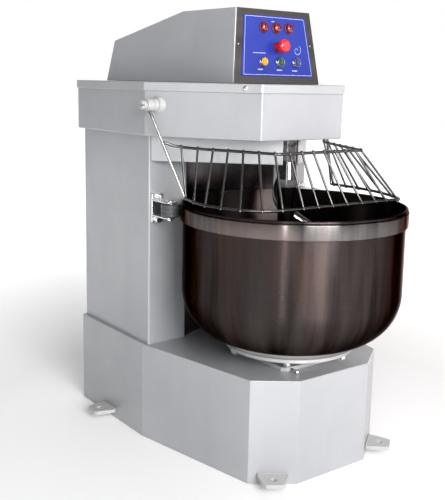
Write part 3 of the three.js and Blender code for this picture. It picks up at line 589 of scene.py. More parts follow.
def lens():
    L = Look("lamp_lens_red")
    L.b.inputs["Coat Weight"].default_value = 0.8
    L.b.inputs["Coat Roughness"].default_value = 0.04
    n = L.noise(scale=220, detail=3)
    L.colour(L.mix(L.span(n, 0.3, 0.7, 0, 1), (0.10, 0.0015, 0.005), (0.22, 0.004, 0.010)))
    L.rough(L.span(n, 0.3, 0.7, 0.10, 0.2))
    L.bump(L.voronoi(scale=420), 0.25, 0.0006)
    return L.m


M["film"], M["lens"] = film(), lens()


# ------------------------------------------------------------------ base cabinet and lugs
B = ringprism(BASE_PLAN, 5.0, [(SHEET, BASE_TOP - SHEET), (SHEET, 0.6), (SHEET - 0.6, 0.0), (0.6, 0.0), (0, 0.6)] + edge(3.0, 0, BASE_TOP, 4, bottom=False)[1:], 5)
piece("base_cabinet_sheet", [B], M["paint"], replaces=["base_cabinet"],
      cutters=[put(lathe([(0, 300), (60.7, 300), (60.7, 330), (0, 330)], 64))])


def lug(mx, my, nx, ny):
    tx, ty = -ny, nx
    w = lambda s, o: (mx + tx * s + nx * o, my + ty * s + ny * o)
    plan = [w(-46, GAP), w(46, GAP), w(46, 18), w(32, 66), w(24, 74), w(-24, 74), w(-32, 66), w(-46, 18)]
    body = ringprism(plan, [0.5, 0.5, 6, 6, 4, 4, 6, 6], edge(1.6, 22, 35, 3), 5)
    cx, cy = w(0, 42)
    hole = put(lathe([(0, 20), (9, 20), (9, 33.4), (10.6, 35.2), (10.6, 37), (0, 37)], 40), (cx, cy, 0))
    bead = sweep([w(s, 2.6 + 0.25 * math.sin(s * 1.1)) + (36.1 + 0.25 * math.cos(s * 0.9),) for s in np.linspace(-43, 43, 60)], 2.2, 10, radii=[2.1 + 0.25 * math.sin(s * 1.45) for s in np.linspace(-43, 43, 60)])
    return body, hole, bead


dx, dy = 262 - 142, -216 + 130
ll = math.hypot(dx, dy)
lug_f = lug(-202, -173, dy / ll, -dx / ll)
lug_r = lug(-346.6, 553, -1, 0)
for nm, (body, hole, bead), fl in (("front_left", lug_f, 0), ("front_right", lug_f, 1), ("rear_left", lug_r, 0), ("rear_right", lug_r, 1)):
    g = flipx if fl else (lambda p: p)
    piece("lug_" + nm, [g(body)], M["white"], replaces=["floor_lug_" + nm], cutters=[g(hole)])
    piece("lug_weld_" + nm, [g(bead)], M["white"], weighted=False)

# ------------------------------------------------------------------ column
outer = scratch("column_sheet", [ringprism(COL_PLAN, 5.0, [(0, BASE_TOP + GAP), (0, 1007)], 6)])
cut(outer, [put(lathe([(0, 200), (372, 200), (372, 928), (0, 928)], 192))])
inner = scratch("column_inner", [ringprism(inset(list(COL_PLAN), SHEET), 3.0, [(0, 300), (0, 1020)], 4)])
cut(inner, [put(lathe([(0, 190), (376, 190), (376, 932), (0, 932)], 192))])
cut(outer, [inner])
finish_piece(outer, M["paint"], "frame", ["column_cabinet"])

# thin sealant line where the column stands on the deck
seal = [(x, y, BASE_TOP + 1.3) for x, y in fillet(inset(list(COL_PLAN), -0.6), 4, 4)]
seal = [p for p in seal if not (p[1] < 320 and abs(p[0]) < 200)]
for s, tag in ((-1, "left"), (1, "right")):
    run = [(s * 196.5, 315.4, BASE_TOP + 1.2), (s * 260, 315.4, BASE_TOP + 1.2), (s * 330, 315.4, BASE_TOP + 1.2), (s * 333.6, 317, BASE_TOP + 1.2), (s * 334.4, 321, BASE_TOP + 1.2), (s * 334.4, 500, BASE_TOP + 1.2), (s * 334.4, 748, BASE_TOP + 1.2)]
    piece("column_seal_" + tag, [sweep(run, 1.15, 8)], M["shroud"], weighted=False)

# recess liner: thin curved sheet behind the bowl, kept near-black so that it paints the shade in the recess
th = math.acos(320.0 / 371.1)
R = []
for a in np.linspace(-th, th, 49):
    R.append([((r) * math.sin(a), (r) * math.cos(a), z) for r, z in ((371.1, 327), (369.1, 327), (369.1, 925), (371.1, 925))])
piece("recess_painted_shade_sheet", [rings_part(R)], M["liner"], replaces=["recess_liner"], weighted=False)

# rear service panel with pressed louvres and screws
P = [box(-296, 296, 750.3, 752.6, 374, 956, 0.8)]
for z in range(440, 640, 32):
    for x0 in (-150, 30):
        lv = []
        for x in np.linspace(x0, x0 + 120, 13):
            e = min(1.0, min(x - x0, x0 + 120 - x) / 10.0)
            h = 2.0 * math.sqrt(max(e, 0)) if e > 0 else 0.02
            lv.append([(x, 752.5, z - 6), (x, 752.5 + h * 0.95, z - 5.6), (x, 752.5 + h * 0.9, z), (x, 752.5 + h * 0.5, z + 7), (x, 752.5, z + 11)])
        P.append(rings_part(lv))
piece("rear_service_panel", P, M["paint"], replaces=["column_rear_panel"], weighted=False)


def screw_head(r=4.2, h=2.2):
    """Pan head with a cross recess cut into it, standing on z = 0."""
    body = lathe([(0, 0), (r, 0), (r, h * 0.35), (r * 0.86, h * 0.78), (r * 0.5, h), (0, h * 1.06)], 28)
    s = r * 0.14
    cross = [box(-r * 0.55, r * 0.55, -s, s, h * 0.55, h * 1.3, 0.05), box(-s, s, -r * 0.55, r * 0.55, h * 0.55, h * 1.3, 0.05)]
    return body, cross


def screws(name, spots, r=4.2, h=2.2, mat="zinc", body="frame"):
    """spots: (origin, outward normal); one object."""
    sb, sc = screw_head(r, h)
    o = scratch(name, [put(sb, p, n) for p, n in spots])
    cut(o, [put(c, p, n) for p, n in spots for c in sc])
    return finish_piece(o, M[mat], body)


screws("rear_panel_screws", [((x, 752.6, z), (0, 1, 0)) for x in (-284, 0, 284) for z in (386, 944)] + [((x, 752.6, 665), (0, 1, 0)) for x in (-284, 284)], 4.2, 2.0)

# ------------------------------------------------------------------ head box, lid and housing
H = ringprism(HEAD_PLAN, 6.0, [(SHEET, 1169), (SHEET, 1007.3 + SHEET)], 6)
H = ringprism(HEAD_PLAN, 6.0, edge(4.0, 1007.3, 1169, 5, bottom=True, top=False) + [(SHEET, 1169), (SHEET, 1007.3 + SHEET)], 6)
piece("head_box_sheet", [H], M["paint"], replaces=["head_box"],
      cutters=[put(lathe([(0, 990), (34.6, 990), (34.6, 1030), (0, 1030)], 48), (118, 155, 0)),
               put(lathe([(0, 990), (26.4, 990), (26.4, 1030), (0, 1030)], 48), (-9, 25, 0)),
               put(lathe([(0, 990), (30, 990), (30, 1030), (0, 1030)], 40), (70, 600, 0)),
               box(-250, -60, 430, 690, 990, 1030, 0.5)])
lid_edge = 1146.5
L = ringprism(HEAD_PLAN, 7.0, [(-0.4, LID_TOP - 3), (-0.4, lid_edge + 0.8), (-1.2, lid_edge), (-3.3, lid_edge), (-4.5, lid_edge + 1.2)]
              + [(-4.5 + 4 - 4 * math.cos(a), LID_TOP - 4 + 4 * math.sin(a)) for a in [math.pi / 2 * i / 5 for i in range(6)]], 7)
piece("head_lid_sheet", [L], M["paint_light"], replaces=["head_lid"])

nose, k = 27.6, 0.99
side = lambda x: 8 + (x - nose) * k
plan = [(-330, 315.7), (-330, side(330)), (-nose, side(nose)), (nose, side(nose)), (330, side(330)), (330, 315.7)]
U = ringprism(plan, [1, 3, 1, 1, 3, 1], edge(3.0, 928, 1006.7, 4, bottom=True, top=False) + [(SHEET, 1006.7), (SHEET, 928 + SHEET)], 4)
piece("under_head_housing_sheet", [U], M["shroud"], replaces=["under_head_housing"],
      cutters=[put(lathe([(0, 900), (34.6, 900), (34.6, 950), (0, 950)], 48), (118, 155, 0)),
               put(lathe([(0, 900), (nose - 0.4, 900), (nose - 0.4, 1010), (0, 1010)], 64), (-9, 25, 0)),
               box(-9 - nose + 0.4, -9 + nose - 0.4, -20, 25, 900, 1010, 0.1)])

# lid screws, one on each tapered side
taper = Vector((-330.1, -195.5, 0)).normalized()       # outward, left side
cx0, cy0 = -359.7, 299.7
u = 0.868
spot = Vector((cx0 + 195.5 * u, cy0 - 330.1 * u, 1160.5)) + taper * 4.5
screws("lid_screws", [(tuple(spot), tuple(taper)), ((-spot.x, spot.y, spot.z), (-taper.x, taper.y, 0))], 7.0, 4.2, "zinc")

# ------------------------------------------------------------------ control hood
PL = math.hypot(27.8, 226)
UY, UZ = 27.8 / PL, 226 / PL
PZ0 = LID_TOP + GAP
NORM = (0, -UZ, UY)


def on_panel(x, h, off):
    return (x, 92.5 + UY * h - UZ * off, PZ0 + UZ * h + UY * off)


def pp(part, x=0, h=0, off=0):
    return put(part, on_panel(x, h, off), NORM, (1, 0, 0))


def convex(name, planes, r=0.0, seg=4):
    """Solid bounded by planes (point, outward normal), edges rounded by r (mm)."""
    bm = bmesh.new()
    bmesh.ops.create_cube(bm, size=4000)
    for p, n in planes:
        g = bmesh.ops.bisect_plane(bm, geom=bm.verts[:] + bm.edges[:] + bm.faces[:], dist=1e-5, plane_co=p, plane_no=n, clear_outer=True)
        es = [e for e in g["geom_cut"] if isinstance(e, bmesh.types.BMEdge)]
        bmesh.ops.holes_fill(bm, edges=[e for e in bm.edges if e.is_boundary], sides=0)
    bmesh.ops.remove_doubles(bm, verts=bm.verts, dist=1e-4)
    bmesh.ops.dissolve_limit(bm, angle_limit=0.002, verts=bm.verts, edges=bm.edges)
    if r > 0:
        bmesh.ops.bevel(bm, geom=bm.edges[:], offset=r, segments=seg, profile=0.5, affect="EDGES", clamp_overlap=True)
    bmesh.ops.recalc_face_normals(bm, faces=bm.faces)
    v = np.array([list(x.co) for x in bm.verts])
    bm.verts.index_update()
    f = [tuple(x.index for x in q.verts) for q in bm.faces]
    bm.free()
    return v, f


def hood_planes(d, depth):
    prof = [(92.5, PZ0), (120.3, PZ0 + 226), (363.5, 1397.5), (713, 1312), (735, PZ0)]
    pl = []
    for i in range(5):
        (y0, z0), (y1, z1) = prof[i], prof[(i + 1) % 5]
        l = math.hypot(y1 - y0, z1 - z0)
        ny, nz = -(z1 - z0) / l, (y1 - y0) / l            # outward for this direction of travel
        pl.append(((0, y0 - ny * d, z0 - nz * d), (0, ny, nz)))
    kx = (252 - 174.7) / (735 - 92.5)
    for s in (-1, 1):
        n = Vector((s, -kx, 0.1283)).normalized()
        pl.append(((s * 174.7 - n.x * d, 92.5 - n.y * d, PZ0 - n.z * d), tuple(n)))
    pl.append((on_panel(0, 0, -depth), NORM))
    return pl


hood = scratch("control_hood_sheet", [convex("a", hood_planes(0, 3.3), 3.2, 5)])
inn = scratch("hood_inner", [convex("b", hood_planes(2.5, 5.8))])
win = ringprism([(-158, 14), (158, 14), (131, 214), (-131, 214)], 3, [(0, -14), (0, 4)], 3)
cut(inn, [pp(win)], "UNION")
cut(hood, [inn])
finish_piece(hood, M["paint"], "frame", ["control_hood"])

# ------------------------------------------------------------------ control panel
LAMPS = [(-49.5, 172), (1.5, 172), (52.5, 172)]
BUTTONS = [(-58, "yellow"), (9.5, "green"), (77.5, "blue")]
holes = [(x, h, 9.2) for x, h in LAMPS] + [(3, 113.5, 11.8)] + [(x, 67, 11.8) for x, _ in BUTTONS]
drill = [pp(lathe([(0, -10), (r, -10), (r, 8), (0, 8)], 32), x, h) for x, h, r in holes]
bz = ringprism([(-174.4, 0.7), (174.4, 0.7), (174.4 - 29 * 226 / 228, PL - 0.3), (-174.4 + 29 * 226 / 228, PL - 0.3)], 2.0, edge(0.9, -3, 0, 3), 4)
piece("panel_bezel_plate", [pp(bz)], M["bezel"], replaces=["panel_bezel"], cutters=drill)
ov = ringprism([(-146, 23), (146, 23), (123, 208.5), (-123, 208.5)], 2.5, edge(0.35, 0.25, 1.5, 2), 4)
piece("panel_film", [pp(ov)], M["film"], replaces=["panel_overlay"], cutters=drill)


def strip(a, b, w, t=0.16, z=1.5):
    """Thin printed bar on the film from a to b."""
    a, b = np.array(a, float), np.array(b, float)
    d = (b - a) / np.linalg.norm(b - a)
    n = np.array([-d[1], d[0]]) * w / 2
    q = [tuple(a - n), tuple(b - n), tuple(b + n), tuple(a + n)]
    return ringprism(q, min(w * 0.45, 0.8), [(0, z - 0.05), (0, z + t * 0.6), (0.1, z + t)], 3)


corners = [(-118.4, 204.5), (117.3, 203.5), (145.8 - 3.5, 27.6), (-136.5, 28.3)]
pr = [strip(corners[i], corners[(i + 1) % 4], 1.5) for i in range(4)]
marks = [((-16, 191), (-4, 191), 2.2), ((-96, 94), (-46, 94), 2.0), ((-80, 44), (-60, 44), 3.0), ((-4, 43), (18, 43), 3.0), ((60, 42), (82, 42), 3.0)]
pr += [strip(a, b, w) for a, b, w in marks]
spiral = [(84 + (2.2 + 2.15 * t) * math.cos(t), 106 + (2.2 + 2.15 * t) * math.sin(t)) for t in np.linspace(0.4, 2 * math.pi * 1.15, 40)]
pr += [strip(spiral[i], spiral[i + 1], 1.7, 0.14) for i in range(len(spiral) - 1)]
piece("panel_print", [pp(p) for p in pr], M["ink"], weighted=False)
screws("panel_screws", [(on_panel(x, h, 0), NORM) for x, h in ((-149.7, 118.6), (141.4, 122.4))], 2.8, 1.6, "turned")

for (x, h), nm in zip(LAMPS, ("left", "middle", "right")):
    base = lathe(fillet([(8.6, -16), (8.6, 1.6), (17.4, 1.6), (17.4, 4.2), (15.6, 5.6), (14.0, 5.6), (14.0, -2), (6, -2), (6, -16)], 0.5, 2), 56)
    dome = [(0, -1), (13.7, -1), (13.7, 8.2)] + [(15.0 * math.cos(a) * (13.7 / 15.0), 8.2 + 8.2 * math.sin(a)) for a in [math.pi / 2 * i / 12 for i in range(1, 13)]]
    piece("lamp_base_" + nm, [pp(base, x, h)], M["black"], replaces=["indicator_lamp_" + nm], angle=40)
    piece("lamp_lens_" + nm, [pp(lathe(dome, 56), x, h)], M["lens"], angle=50)

for x, nm in BUTTONS:
    col = fillet([(8.2, -14), (11, -14), (11, 1.8), (14.6, 1.8), (14.6, 8.6), (13.2, 11), (11.9, 11), (11.9, 3), (8.2, 3)], 0.5, 3)
    ridge = [lathe(fillet([(14.2, z), (14.9, z + 0.4), (14.9, z + 1.0), (14.2, z + 1.4)], 0.15, 2), 64) for z in (2.6, 4.8)]
    piece("collar_" + nm, [pp(lathe(col, 64), x, 67)] + [pp(r, x, 67) for r in ridge], M["chrome"], replaces=["button_collar_" + nm], angle=40)
    cap = [(0, -20), (7.8, -20), (7.8, 6.4), (11.3, 6.4)] + [(11.3 - 1.6 + 1.6 * math.cos(a), 11.2 + 1.6 * math.sin(a)) for a in [math.pi / 2 * i / 5 for i in range(6)]] + [(8.6, 12.3), (6, 11.9), (0, 11.7)]
    piece("cap_" + nm, [pp(lathe(cap, 56), x, 67)], M[nm], "button_" + nm, ["button_" + nm], angle=40)

ec = fillet([(8.2, -14), (11, -14), (11, 1.8), (15.4, 1.8), (15.4, 6), (14.4, 9.5), (13.4, 12), (11.3, 12), (11.3, 3.2), (8.2, 3.2)], 0.5, 3)
piece("estop_collar_ring", [pp(lathe(ec, 56), 3, 113.5)], M["red_dark"], replaces=["estop_collar"], angle=40)
mush = [(0, -20), (7.8, -20), (7.8, 7.8), (10.7, 7.8), (10.7, 20), (12.5, 24)] + fillet([(12.5, 24.5), (18.6, 25.6), (20, 28), (20, 38), (17.6, 43), (12, 44.6), (0, 45)], [0, 1.5, 1.5, 3, 5, 8, 0], 5, closed=False)
mo = [pp(lathe(mush, 72), 3, 113.5)]
for q in range(3):   # raised turn-to-release ribs on the face
    a0 = 2 * math.pi * q / 3 + 0.3
    path = [(12.6 * math.cos(a), 12.6 * math.sin(a), 44.35) for a in np.linspace(a0, a0 + 1.35, 16)]
    mo.append(pp(sweep(path, 0.75, 8), 3, 113.5))
piece("estop_mushroom", mo, M["red"], "estop_button", ["estop_button"], angle=40)

# ------------------------------------------------------------------ bowl
zc, rc = BOWL_FLOOR + BOWL_CORNER, BOWL_R - BOWL_CORNER
prof = [(0, BOWL_FLOOR)] + [(rc + BOWL_CORNER * math.cos(a), zc + BOWL_CORNER * math.sin(a)) for a in [-math.pi / 2 + math.pi / 2 * i / 28 for i in range(29)]]
prof += [(BOWL_R, 800), (BOWL_R, 803.2)]
prof += [(BOWL_R + 0.6 + 4.2 * math.cos(a), 806.9 + 4.2 * math.sin(a)) for a in [-math.pi * 0.32 + math.pi * 1.1 * i / 14 for i in range(15)]]
prof += [(BOWL_R - BOWL_T, 803), (BOWL_R - BOWL_T, 700), (BOWL_R - BOWL_T, zc)]
prof += [(rc + (BOWL_CORNER - BOWL_T) * math.cos(a), zc + (BOWL_CORNER - BOWL_T) * math.sin(a)) for a in [-math.pi / 2 * i / 28 for i in range(1, 29)]]
prof += [(0, BOWL_FLOOR + BOWL_T)]
piece("bowl_spun_shell", [put(lathe(prof, 256))], M["bowl"], "bowl", ["bowl_shell"], angle=40, weighted=False)
foot = fillet([(150, 371.3), (213, 371.3), (213, 386.4), (150, 386.4)], [0, 1, 1, 0], 3)
piece("bowl_foot_ring", [put(lathe(foot, 192))], M["foot"], "bowl", weighted=False)
band = fillet([(346.35, 757), (353.5, 757), (353.5, 802), (346.35, 802)], [0, 2.2, 2.6, 0], 5)
piece("rim_band_ring", [put(lathe(band, 256))], M["bowl_edge"], "bowl", ["bowl_rim_band"], angle=40, weighted=False)

# turntable disc, shaft and bolts
tt = fillet([(0, 371), (205, 371), (205, 357), (62, 357), (30, 354), (30, 235), (0, 235)], [0, 2.5, 2.5, 3, 3, 1, 0], 4, closed=False)
piece("turntable_disc", [put(lathe(tt, 128))], M["cast"], "bowl", ["turntable"], angle=40)
for i in range(6):
    a = math.radians(47 + 60 * i)
    x, y = 191.5 * math.cos(a), 191.5 * math.sin(a)
    hexa = [(x + 12.0 * math.cos(a + math.pi / 3 * j), y + 12.0 * math.sin(a + math.pi / 3 * j)) for j in range(6)]
    nut = ringprism(hexa, 0.6, [(2.4, 344.2), (0.6, 345.2), (0, 346.2), (0, 354.2), (0.4, 354.6)], 2)
    wash = put(lathe(fillet([(0, 354.6), (13, 354.6), (13, 356.7), (0, 356.7)], [0, 0.5, 0.5, 0], 2, closed=False), 40), (x, y, 0))
    stud = put(lathe([(0, 339.6), (3.2, 339.8), (5.2, 341.2), (5.6, 342.4), (5.6, 345), (0, 345)], 28), (x, y, 0))
    piece(f"bolt_set_{i+1}", [nut, wash, stud], M["zinc"], "bowl", [f"bowl_bolt_{i+1}"], angle=35)

# bearing housing with its corner bolts, and the grease pin
p16 = 137 - 16
octo = [(-p16, -137), (p16, -137), (137, -p16), (137, p16), (p16, 137), (-p16, 137), (-137, p16), (-137, -p16)]
hb = scratch("bearing_plate", [ringprism(octo, 2, edge(1.6, 323.9, 337, 3), 3)])
cut(hb, [put(lathe([(0, 300), (60.2, 300), (60.2, 340), (0, 340)], 64))])
finish_piece(hb, M["white"], "frame")
hous = fillet([(30.4, 271), (60, 271), (60, 336.8), (76, 336.8), (76, 350), (46, 352), (30.4, 352)], [1, 2, 0, 2, 3, 2, 1], 3)
piece("bearing_housing_body", [put(lathe(hous, 80))], M["cast"], replaces=["bowl_bearing_housing"], angle=40)
nuts = []
for sx in (-1, 1):
    for sy in (-1, 1):
        x, y = sx * 108, sy * 108
        nuts.append(ringprism([(x + 9 * math.cos(math.pi / 3 * j), y + 9 * math.sin(math.pi / 3 * j)) for j in range(6)], 0.5, [(0.3, 337.1), (0, 337.5), (0, 342.6), (0.5, 343.4), (1.8, 343.9)], 2))
piece("bearing_plate_bolts", nuts, M["zinc"], angle=35)
gp = put(lathe([(0, 0), (4.5, 0), (4.5, 25.6), (6.4, 26.4), (6.4, 33), (4.2, 35.2), (0, 35.8)], 28), (-112, -137.3, 330.5), (0, -1, 0))
piece("grease_pin", [gp], M["zinc"], replaces=["bearing_grease_pin"], angle=40)

# ------------------------------------------------------------------ spiral and breaker bar
bar = fillet([(0, 404), (14, 404), (20, 410), (22, 464), (25, 700), (27, 800), (33, 860), (33, 885), (26, 940), (26, 1011.6), (40, 1011.6), (40, 1026), (0, 1026)], [0, 3, 6, 20, 60, 60, 22, 22, 60, 0, 1, 1, 0], 6, closed=False)
piece("breaker_post", [put(lathe(bar, 72), (-9, 25, 0))], M["post"], replaces=["breaker_bar"], angle=40)

SX, SY = 118.0, 155.0
reach, corner = math.hypot(SX, SY), BOWL_CORNER - BOWL_T - 25
pts = [(SX, SY, 930)]
for i in range(41):
    t = i / 40
    z = 900 + (419 - 900) * t ** 0.92
    rise = max(0.0, BOWL_FLOOR + BOWL_CORNER - z)
    room = rc + math.sqrt(max(0.0, corner * corner - rise * rise)) - reach
    r = min(118 * min(1, (t / 0.5) ** 0.85), room)
    a = math.radians(95) + 2 * math.pi * 1.42 * t
    pts.append((SX + r * math.cos(a), SY + r * math.sin(a), z))
arm = catmull(pts, 220)
rad = [20.0 + 4.4 * max(0.0, 1 - i / 46.0) ** 1.4 - 3.0 * max(0.0, (i - 150) / 70.0) ** 1.5 for i in range(220)]
shaft = put(lathe(fillet([(0, 866), (14, 868), (24, 880), (25, 892), (25, 1098), (0, 1098)], [0, 6, 8, 4, 1, 0], 5, closed=False), 56), (SX, SY, 0))
sh = scratch("spiral_shaft_and_arm", [shaft])
cut(sh, [sweep(arm, 20, 32, radii=rad)], "UNION")
finish_piece(sh, M["spiral"], "spiral", ["spiral_hook"], angle=50, weighted=False)
sb = fillet([(25.4, 917), (41, 917), (41, 927.7), (34, 927.7), (34, 1034), (25.4, 1034)], [0.5, 2.5, 1, 0, 1, 0.5], 4)
piece("spiral_bearing_body", [put(lathe(sb, 64), (SX, SY, 0))], M["turned"], replaces=["spiral_bearing_housing"], angle=40)

# ------------------------------------------------------------------ guide rollers
rx, ry = -306.5, 232.0
fork = [(-329, 305), (-329, 232), (-322.5, 218), (-290.5, 218), (-286.5, 242), (-286, 305)]
arms = [ringprism(fork, [0.5, 6, 8, 8, 6, 0.5], edge(1.2, z0, z0 + 5, 2), 4) for z0 in (802, 753)]
foot_plate = box(-329, -286, 304, 315.7, 732, 824, 1.6, 3.0)
socket = put(lathe(fillet([(0, 0), (8, 0), (8, 8.5), (7, 9.5), (4.2, 9.5), (4.2, 5), (0, 5)], [0, 0.3, 0.8, 0.8, 0.4, 0.4, 0], 3, closed=False), 36), (-305, 304, 815), (0, -1, 0))
boss2 = put(lathe(fillet([(0, 0), (13, 0), (13, 7), (10, 10), (0, 10.5)], [0, 0.3, 2, 3, 0], 4, closed=False), 40), (-308, 304, 741), (0, -1, 0))
pin2 = put(lathe(fillet([(0, 746), (8, 746), (8, 752.6), (8, 807), (9, 807), (9, 810.5), (6.4, 812.8), (0, 813)], [0, 0.5, 0, 0, 0, 0.8, 1, 0], 3, closed=False), 36), (rx, ry, 0))
hex2 = ringprism([(rx + 10 * math.cos(math.pi / 3 * j), ry + 10 * math.sin(math.pi / 3 * j)) for j in range(6)], 0.5, [(1.6, 746.2), (0.3, 747), (0, 747.6), (0, 752.9)], 2)
roller = fillet([(8.4, 760), (27.5, 760), (30.5, 763), (30.5, 772), (29.6, 773), (29.6, 774.4), (30.5, 775.4), (30.5, 784.6), (29.6, 785.6), (29.6, 787), (30.5, 788), (30.5, 797), (27.5, 800), (8.4, 800)], [0.5, 0.5, 1] + [0.4] * 8 + [1, 0.5, 0.5], 3)
rl = put(lathe(roller, 72), (rx, ry, 0))
hub = [put(lathe(fillet([(8.5, z0), (14, z0), (14, z0 + 1.7), (8.5, z0 + 1.7)], 0.4, 2), 36), (rx, ry, 0)) for z0 in (758.2, 800.1)]
for tag, g in (("left", lambda p: p), ("right", flipx)):
    piece("roller_fork_" + tag, [g(p) for p in arms + [foot_plate, socket, boss2, pin2, hex2]], M["bracket"], replaces=["roller_bracket_" + tag], angle=38)
    piece("roller_tyre_" + tag, [g(rl)], M["rubber"], "roller_" + tag, ["guide_roller_" + tag], angle=38)
    piece("roller_spacers_" + tag, [g(p) for p in hub], M["zinc"], "roller_" + tag, angle=38)

# ------------------------------------------------------------------ guard
HX = Vector((-1, 0, 0))
boss = lathe([(9.4, 0), (9.4, 56), (17.4, 56), (18.6, 55.4), (19.2, 54.2), (19.2, 45.2), (20.2, 43.6), (22.5, 43), (24.6, 42.6), (26, 41), (26, 22), (27.5, 17), (31, 12), (37, 8), (37, 0)], 72)
bs = scratch("pivot_boss", [put(boss, (-300, HINGE_Y, HINGE_Z), tuple(HX))])
wall = ringprism(inset(list(reversed(HEAD_PLAN)) if area2(HEAD_PLAN) < 0 else HEAD_PLAN, -0.3), 5, [(0, 1000), (0, 1180)], 5)
cut(bs, [wall])
bv, bf = np.array([list(v.co * 1000) for v in bs.data.vertices]), [tuple(p.vertices) for p in bs.data.polygons]
bv[:, 1] -= OFF_Y
old = bs.data
bpy.data.objects.remove(bs)
bpy.data.meshes.remove(old)
hubp = lathe(fillet([(9.4, 56.7), (17.6, 56.7), (18.5, 57.6), (18.5, 77.9), (17.6, 78.8), (9.4, 78.8)], [0.3, 0.3, 0.8, 0.8, 0.3, 0.3], 3), 64)
pinp = lathe(fillet([(0, 45), (9, 45), (9, 79.4), (14, 79.4), (14, 95), (12, 98), (0, 98)], [0, 0.5, 0, 0.6, 1.5, 1.5, 0], 4, closed=False), 48)
for tag, g, s in (("left", lambda p: p, 1), ("right", flipx, -1)):
    piece("pivot_boss_" + tag, [g((bv, bf))], M["white"], replaces=["guard_boss_" + tag], angle=38)
    o = scratch("pivot_pin_" + tag, [g(put(pinp, (-300, HINGE_Y, HINGE_Z), tuple(HX)))])
    cut(o, [g(box(-402, -390.5, HINGE_Y - 20, HINGE_Y + 20, HINGE_Z - 2.1, HINGE_Z + 2.1, 0.1))])
    finish_piece(o, M["white"], "frame", ["guard_pivot_pin_" + tag], angle=38)
    piece("guard_hub_" + tag, [g(put(hubp, (-300, HINGE_Y, HINGE_Z), tuple(HX)))], M["white"], "guard", angle=38)
    A, Bp = (s * -367, HINGE_Y - 1.6, HINGE_Z - 17.0), (s * -308, 150, 828 if s > 0 else 835)
    rd = sweep(straight(A, Bp, 12), 5.0, 20)
    weld = put(lathe([(5.2, -1.5), (8.2, -0.6), (8.6, 0.8), (7.0, 2.6), (5.2, 3.6)], 28), A, tuple(Vector(Bp) - Vector(A)))
    piece("guard_rod_bar_" + tag, [rd, weld], M["rod"], "guard", ["guard_rod_" + tag], angle=40, weighted=False)

lowL = [(-308, 150, 828), (-325, 80, 826), (-330, 15, 825), (-321, -45, 825), (-296, -108, 825), (-250, -153, 825), (-190, -174, 825)]
lowF = [(-190, -174, 825), (-122, -178, 825), (-8, -180, 825), (113, -182, 825), (220, -181, 825), (283, -178, 825)]
lowR = [(283, -178, 825), (297, -165, 825), (322, -95, 827), (331, -20, 830), (328, 60, 832), (308, 150, 835)]
upL = [(-343, 216, 993), (-322, 204, 985), (-298, 186, 980), (-270, 122, 978), (-232, 35, 978), (-197, -48, 978), (-172, -112, 978)]
upF = [(-172, -112, 978), (-165, -116, 978), (-60, -117, 978), (60, -117, 978), (165, -116, 978), (172, -112, 978)]
upR = [(-x, y, z) for x, y, z in reversed(upL)]
C = {n: catmull(p, 240) for n, p in (("lowL", lowL), ("lowF", lowF), ("lowR", lowR), ("upL", upL), ("upF", upF), ("upR", upR))}


def chain(*cs):
    p = np.concatenate([c if i == 0 else c[1:] for i, c in enumerate(cs)])
    for _ in range(6):                                   # ease the bends where the runs meet
        q = p.copy()
        q[1:-1] = (p[:-2] + 2 * p[1:-1] + p[2:]) / 4
        p = q
    L = np.concatenate([[0], np.cumsum(np.linalg.norm(np.diff(p, axis=0), axis=1))])
    s = np.linspace(0, L[-1], 260)
    return np.stack([np.interp(s, L, p[:, k]) for k in range(3)], 1)


piece("guard_lower_ring", [sweep(chain(C["lowL"], C["lowF"], C["lowR"]), 4.5, 14)], M["wire"], "guard", ["guard_grille_front", "guard_grille_left", "guard_grille_right"], weighted=False, angle=60)
piece("guard_upper_ring", [sweep(chain(C["upL"], C["upF"], C["upR"]), 4.5, 14)], M["wire"], "guard", weighted=False, angle=60)
SETS = [("left", "upL", "lowL", [(0.145, 0.02), (0.3, 0.19), (0.44, 0.35), (0.575, 0.51), (0.71, 0.67), (0.845, 0.83), (0.985, 0.985)]),
        ("front", "upF", "lowF", [(0.135, 0.145), (0.27, 0.265), (0.4, 0.385), (0.525, 0.51), (0.655, 0.64), (0.78, 0.765), (0.9, 0.865), (0.985, 0.985)]),
        ("right", "upR", "lowR", [(0.16, 0.2), (0.3, 0.36), (0.44, 0.52), (0.58, 0.68), (0.72, 0.83), (0.855, 0.97)])]
for tag, up, lo, lst in SETS:
    parts = []
    for uu, vv in lst:
        a, b = at(C[up], uu), at(C[lo], vv)
        d = (b - a) / np.linalg.norm(b - a)
        out = np.cross(d, np.cross(np.array([0, 0, 1.0]), d))
        a2, b2 = a - d * 3.0, b + d * 3.0
        parts.append(sweep(straight(a2, b2, 10), 3.4, 12))
        for c in (a, b):
            parts.append(sweep([tuple(c - d * 5.5), tuple(c - d * 2.5), tuple(c), tuple(c + d * 2.5), tuple(c + d * 5.5)], 4, 12, radii=[3.5, 4.9, 5.5, 4.9, 3.5]))
    piece("guard_bars_" + tag, parts, M["wire"], "guard", weighted=False, angle=60)

# ------------------------------------------------------------------ hidden drive parts keep their CAD shape and get real materials
def dress(node, mat):
    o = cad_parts[node]
    for s in o.material_slots:
        s.material = mat


for n in ("spiral_motor", "bowl_motor"):
    dress(n, M["motor"])
for n in ("spiral_pulley", "spiral_motor_pulley", "bowl_pulley", "bowl_motor_pulley"):
    dress(n, M["cast"])
for n in ("spiral_belt", "bowl_belt"):
    dress(n, M["belt"])

